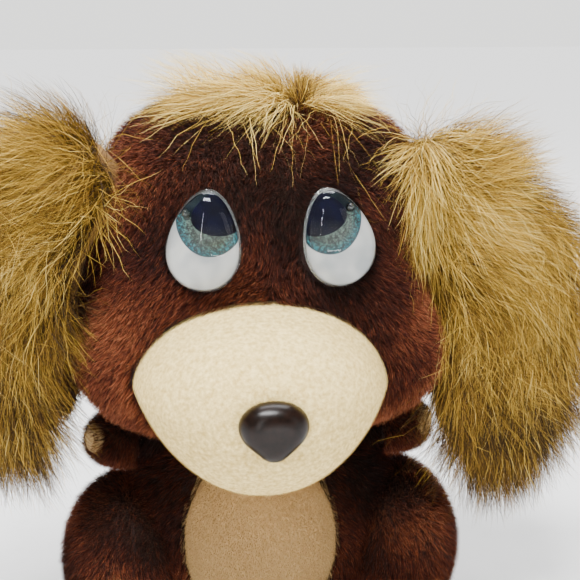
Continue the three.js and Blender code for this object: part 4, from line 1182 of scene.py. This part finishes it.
# ---------------------------------------------------------------- the hard parts
def dress_hard_parts():
    """Every visible CAD node that stays gets a node material of its own kind."""
    grain = 0.1 * MM
    looks = {
        "casing_plastic": textured("casing", (206, 202, 190), (220, 216, 206), 300, 0.5, 0.15, grain),
        "black_plastic": textured("black_casing", (20, 20, 23), (36, 36, 40), 400, 0.5, 0.2, grain),
        "gear_plastic": textured("gear", (226, 222, 206), (240, 236, 222), 300, 0.4, 0.1, grain),
        "board": textured("board", (28, 82, 46), (40, 108, 60), 500, 0.45, 0.1, grain),
        "steel": textured("steel", (150, 152, 156), (190, 192, 196), 600, 0.35, 0.05, grain, metallic=1.0),
        "battery_jacket": textured("jacket", (92, 66, 30), (120, 88, 40), 80, 0.3, 0.0, metallic=0.6),
        "eye_white": EYE_WHITE,
    }
    slots = {row["node"]: row["material_slot"] for row in frame["record"]["subparts"]}
    for node, obj in frame["nodes"].items():
        look = looks.get(slots.get(node))
        if look:
            for s in obj.material_slots:
                s.material = look


# ---------------------------------------------------------------- the stage
FLOOR_HALF = 9.0
LIGHTS = [
    ("key", (-0.22, -0.55, 1.6), (0.8, 0.3), 60),
    ("fill", (1.2, -0.9, 0.7), (0.6, 0.9), 2),
    ("top", (0.1, 0.5, 1.3), (1.0, 0.6), 30),
    ("window", (-0.45, -1.1, 0.62), (0.05, 0.7), 2.5),
    ("low strip", (0.15, -0.9, 0.1), (0.5, 0.02), 0.5),
]  # name, place, size and watts
LIGHTS_AIM = Vector((0, 0, 0.25))


def make_floor():
    """A white floor that glows as painted light, dimmest near the puppy as painted shadow and brightening
    with distance.
    """
    look = textured("floor", (236, 236, 236), (246, 246, 246), 20, 0.8, 0.0, emission_color=(1, 1, 1, 1))
    place = add(look, "ShaderNodeTexCoord")
    from_middle = add(look, "ShaderNodeVectorMath", operation="LENGTH")
    # The glow is painted light, kept low near the puppy as a painted shadow.
    glow = map_range(look, 0.3, 1.3, 0.12, 1.7)
    wire(look, place, "Object", from_middle, 0)
    wire(look, from_middle, "Value", glow, "Value")
    wire(look, glow, "Result", look.node_tree.nodes["Principled BSDF"], "Emission Strength")
    corners = [(x * FLOOR_HALF, y * FLOOR_HALF, 0) for x, y in ((-1, -1), (1, -1), (1, 1), (-1, 1))]
    floor = link("floor", mesh_from("floor", corners, [(0, 1, 2, 3)]), [look], None)


def make_sky():
    """Plain light that is brightest at the horizon."""
    world = bpy.data.worlds.new("studio")
    world.use_nodes = True
    direction = add(world, "ShaderNodeTexCoord")
    parts = add(world, "ShaderNodeSeparateXYZ")
    sky = map_range(world, 0.04, 0.3, 1.8, 0.2)
    background = world.node_tree.nodes["Background"]
    wire(world, direction, "Generated", parts, 0)
    wire(world, parts, "Z", sky, "Value")
    wire(world, sky, "Result", background, "Strength")
    background.inputs["Color"].default_value = (1.0, 1.0, 0.98, 1)
    bpy.context.scene.world = world


def make_lights():
    """Soft rectangles, all turned to the middle of the puppy."""
    for name, at, size, power in LIGHTS:
        data = bpy.data.lights.new(name, "AREA")
        data.energy = power
        data.shape = "RECTANGLE"
        data.size, data.size_y = size
        lamp = bpy.data.objects.new(name, data)
        lamp.location = at
        lamp.rotation_euler = (LIGHTS_AIM - Vector(at)).to_track_quat("-Z", "Y").to_euler()
        bpy.context.scene.collection.objects.link(lamp)


def make_camera():
    """A little to the puppy's right and above its eyes."""
    data = bpy.data.cameras.new("camera")
    data.lens = LENS
    data.sensor_width = SENSOR
    camera = bpy.data.objects.new("camera", data)
    level, up = math.cos(CAMERA_ELEVATION), math.sin(CAMERA_ELEVATION)
    away = Vector((math.sin(CAMERA_AZIMUTH) * level, -math.cos(CAMERA_AZIMUTH) * level, up))
    camera.location = Vector(CAMERA_TARGET) + away * CAMERA_DISTANCE
    turn = (-away).to_track_quat("-Z", "Y").to_matrix()
    aim = turn @ Vector((*CAMERA_AIM, -1))
    camera.rotation_euler = aim.to_track_quat("-Z", "Y").to_euler()
    bpy.context.scene.collection.objects.link(camera)
    bpy.context.scene.camera = camera


make_camera()
make_floor()
make_sky()
make_lights()
make_head()
make_muzzle()
make_nose()
for side_name in SIDES:
    make_eye(side_name)
    make_ear(side_name)
    make_arm(side_name)
    make_leg(side_name)
make_tuft()
make_torso()
make_seat()
make_tail()
dress_hard_parts()
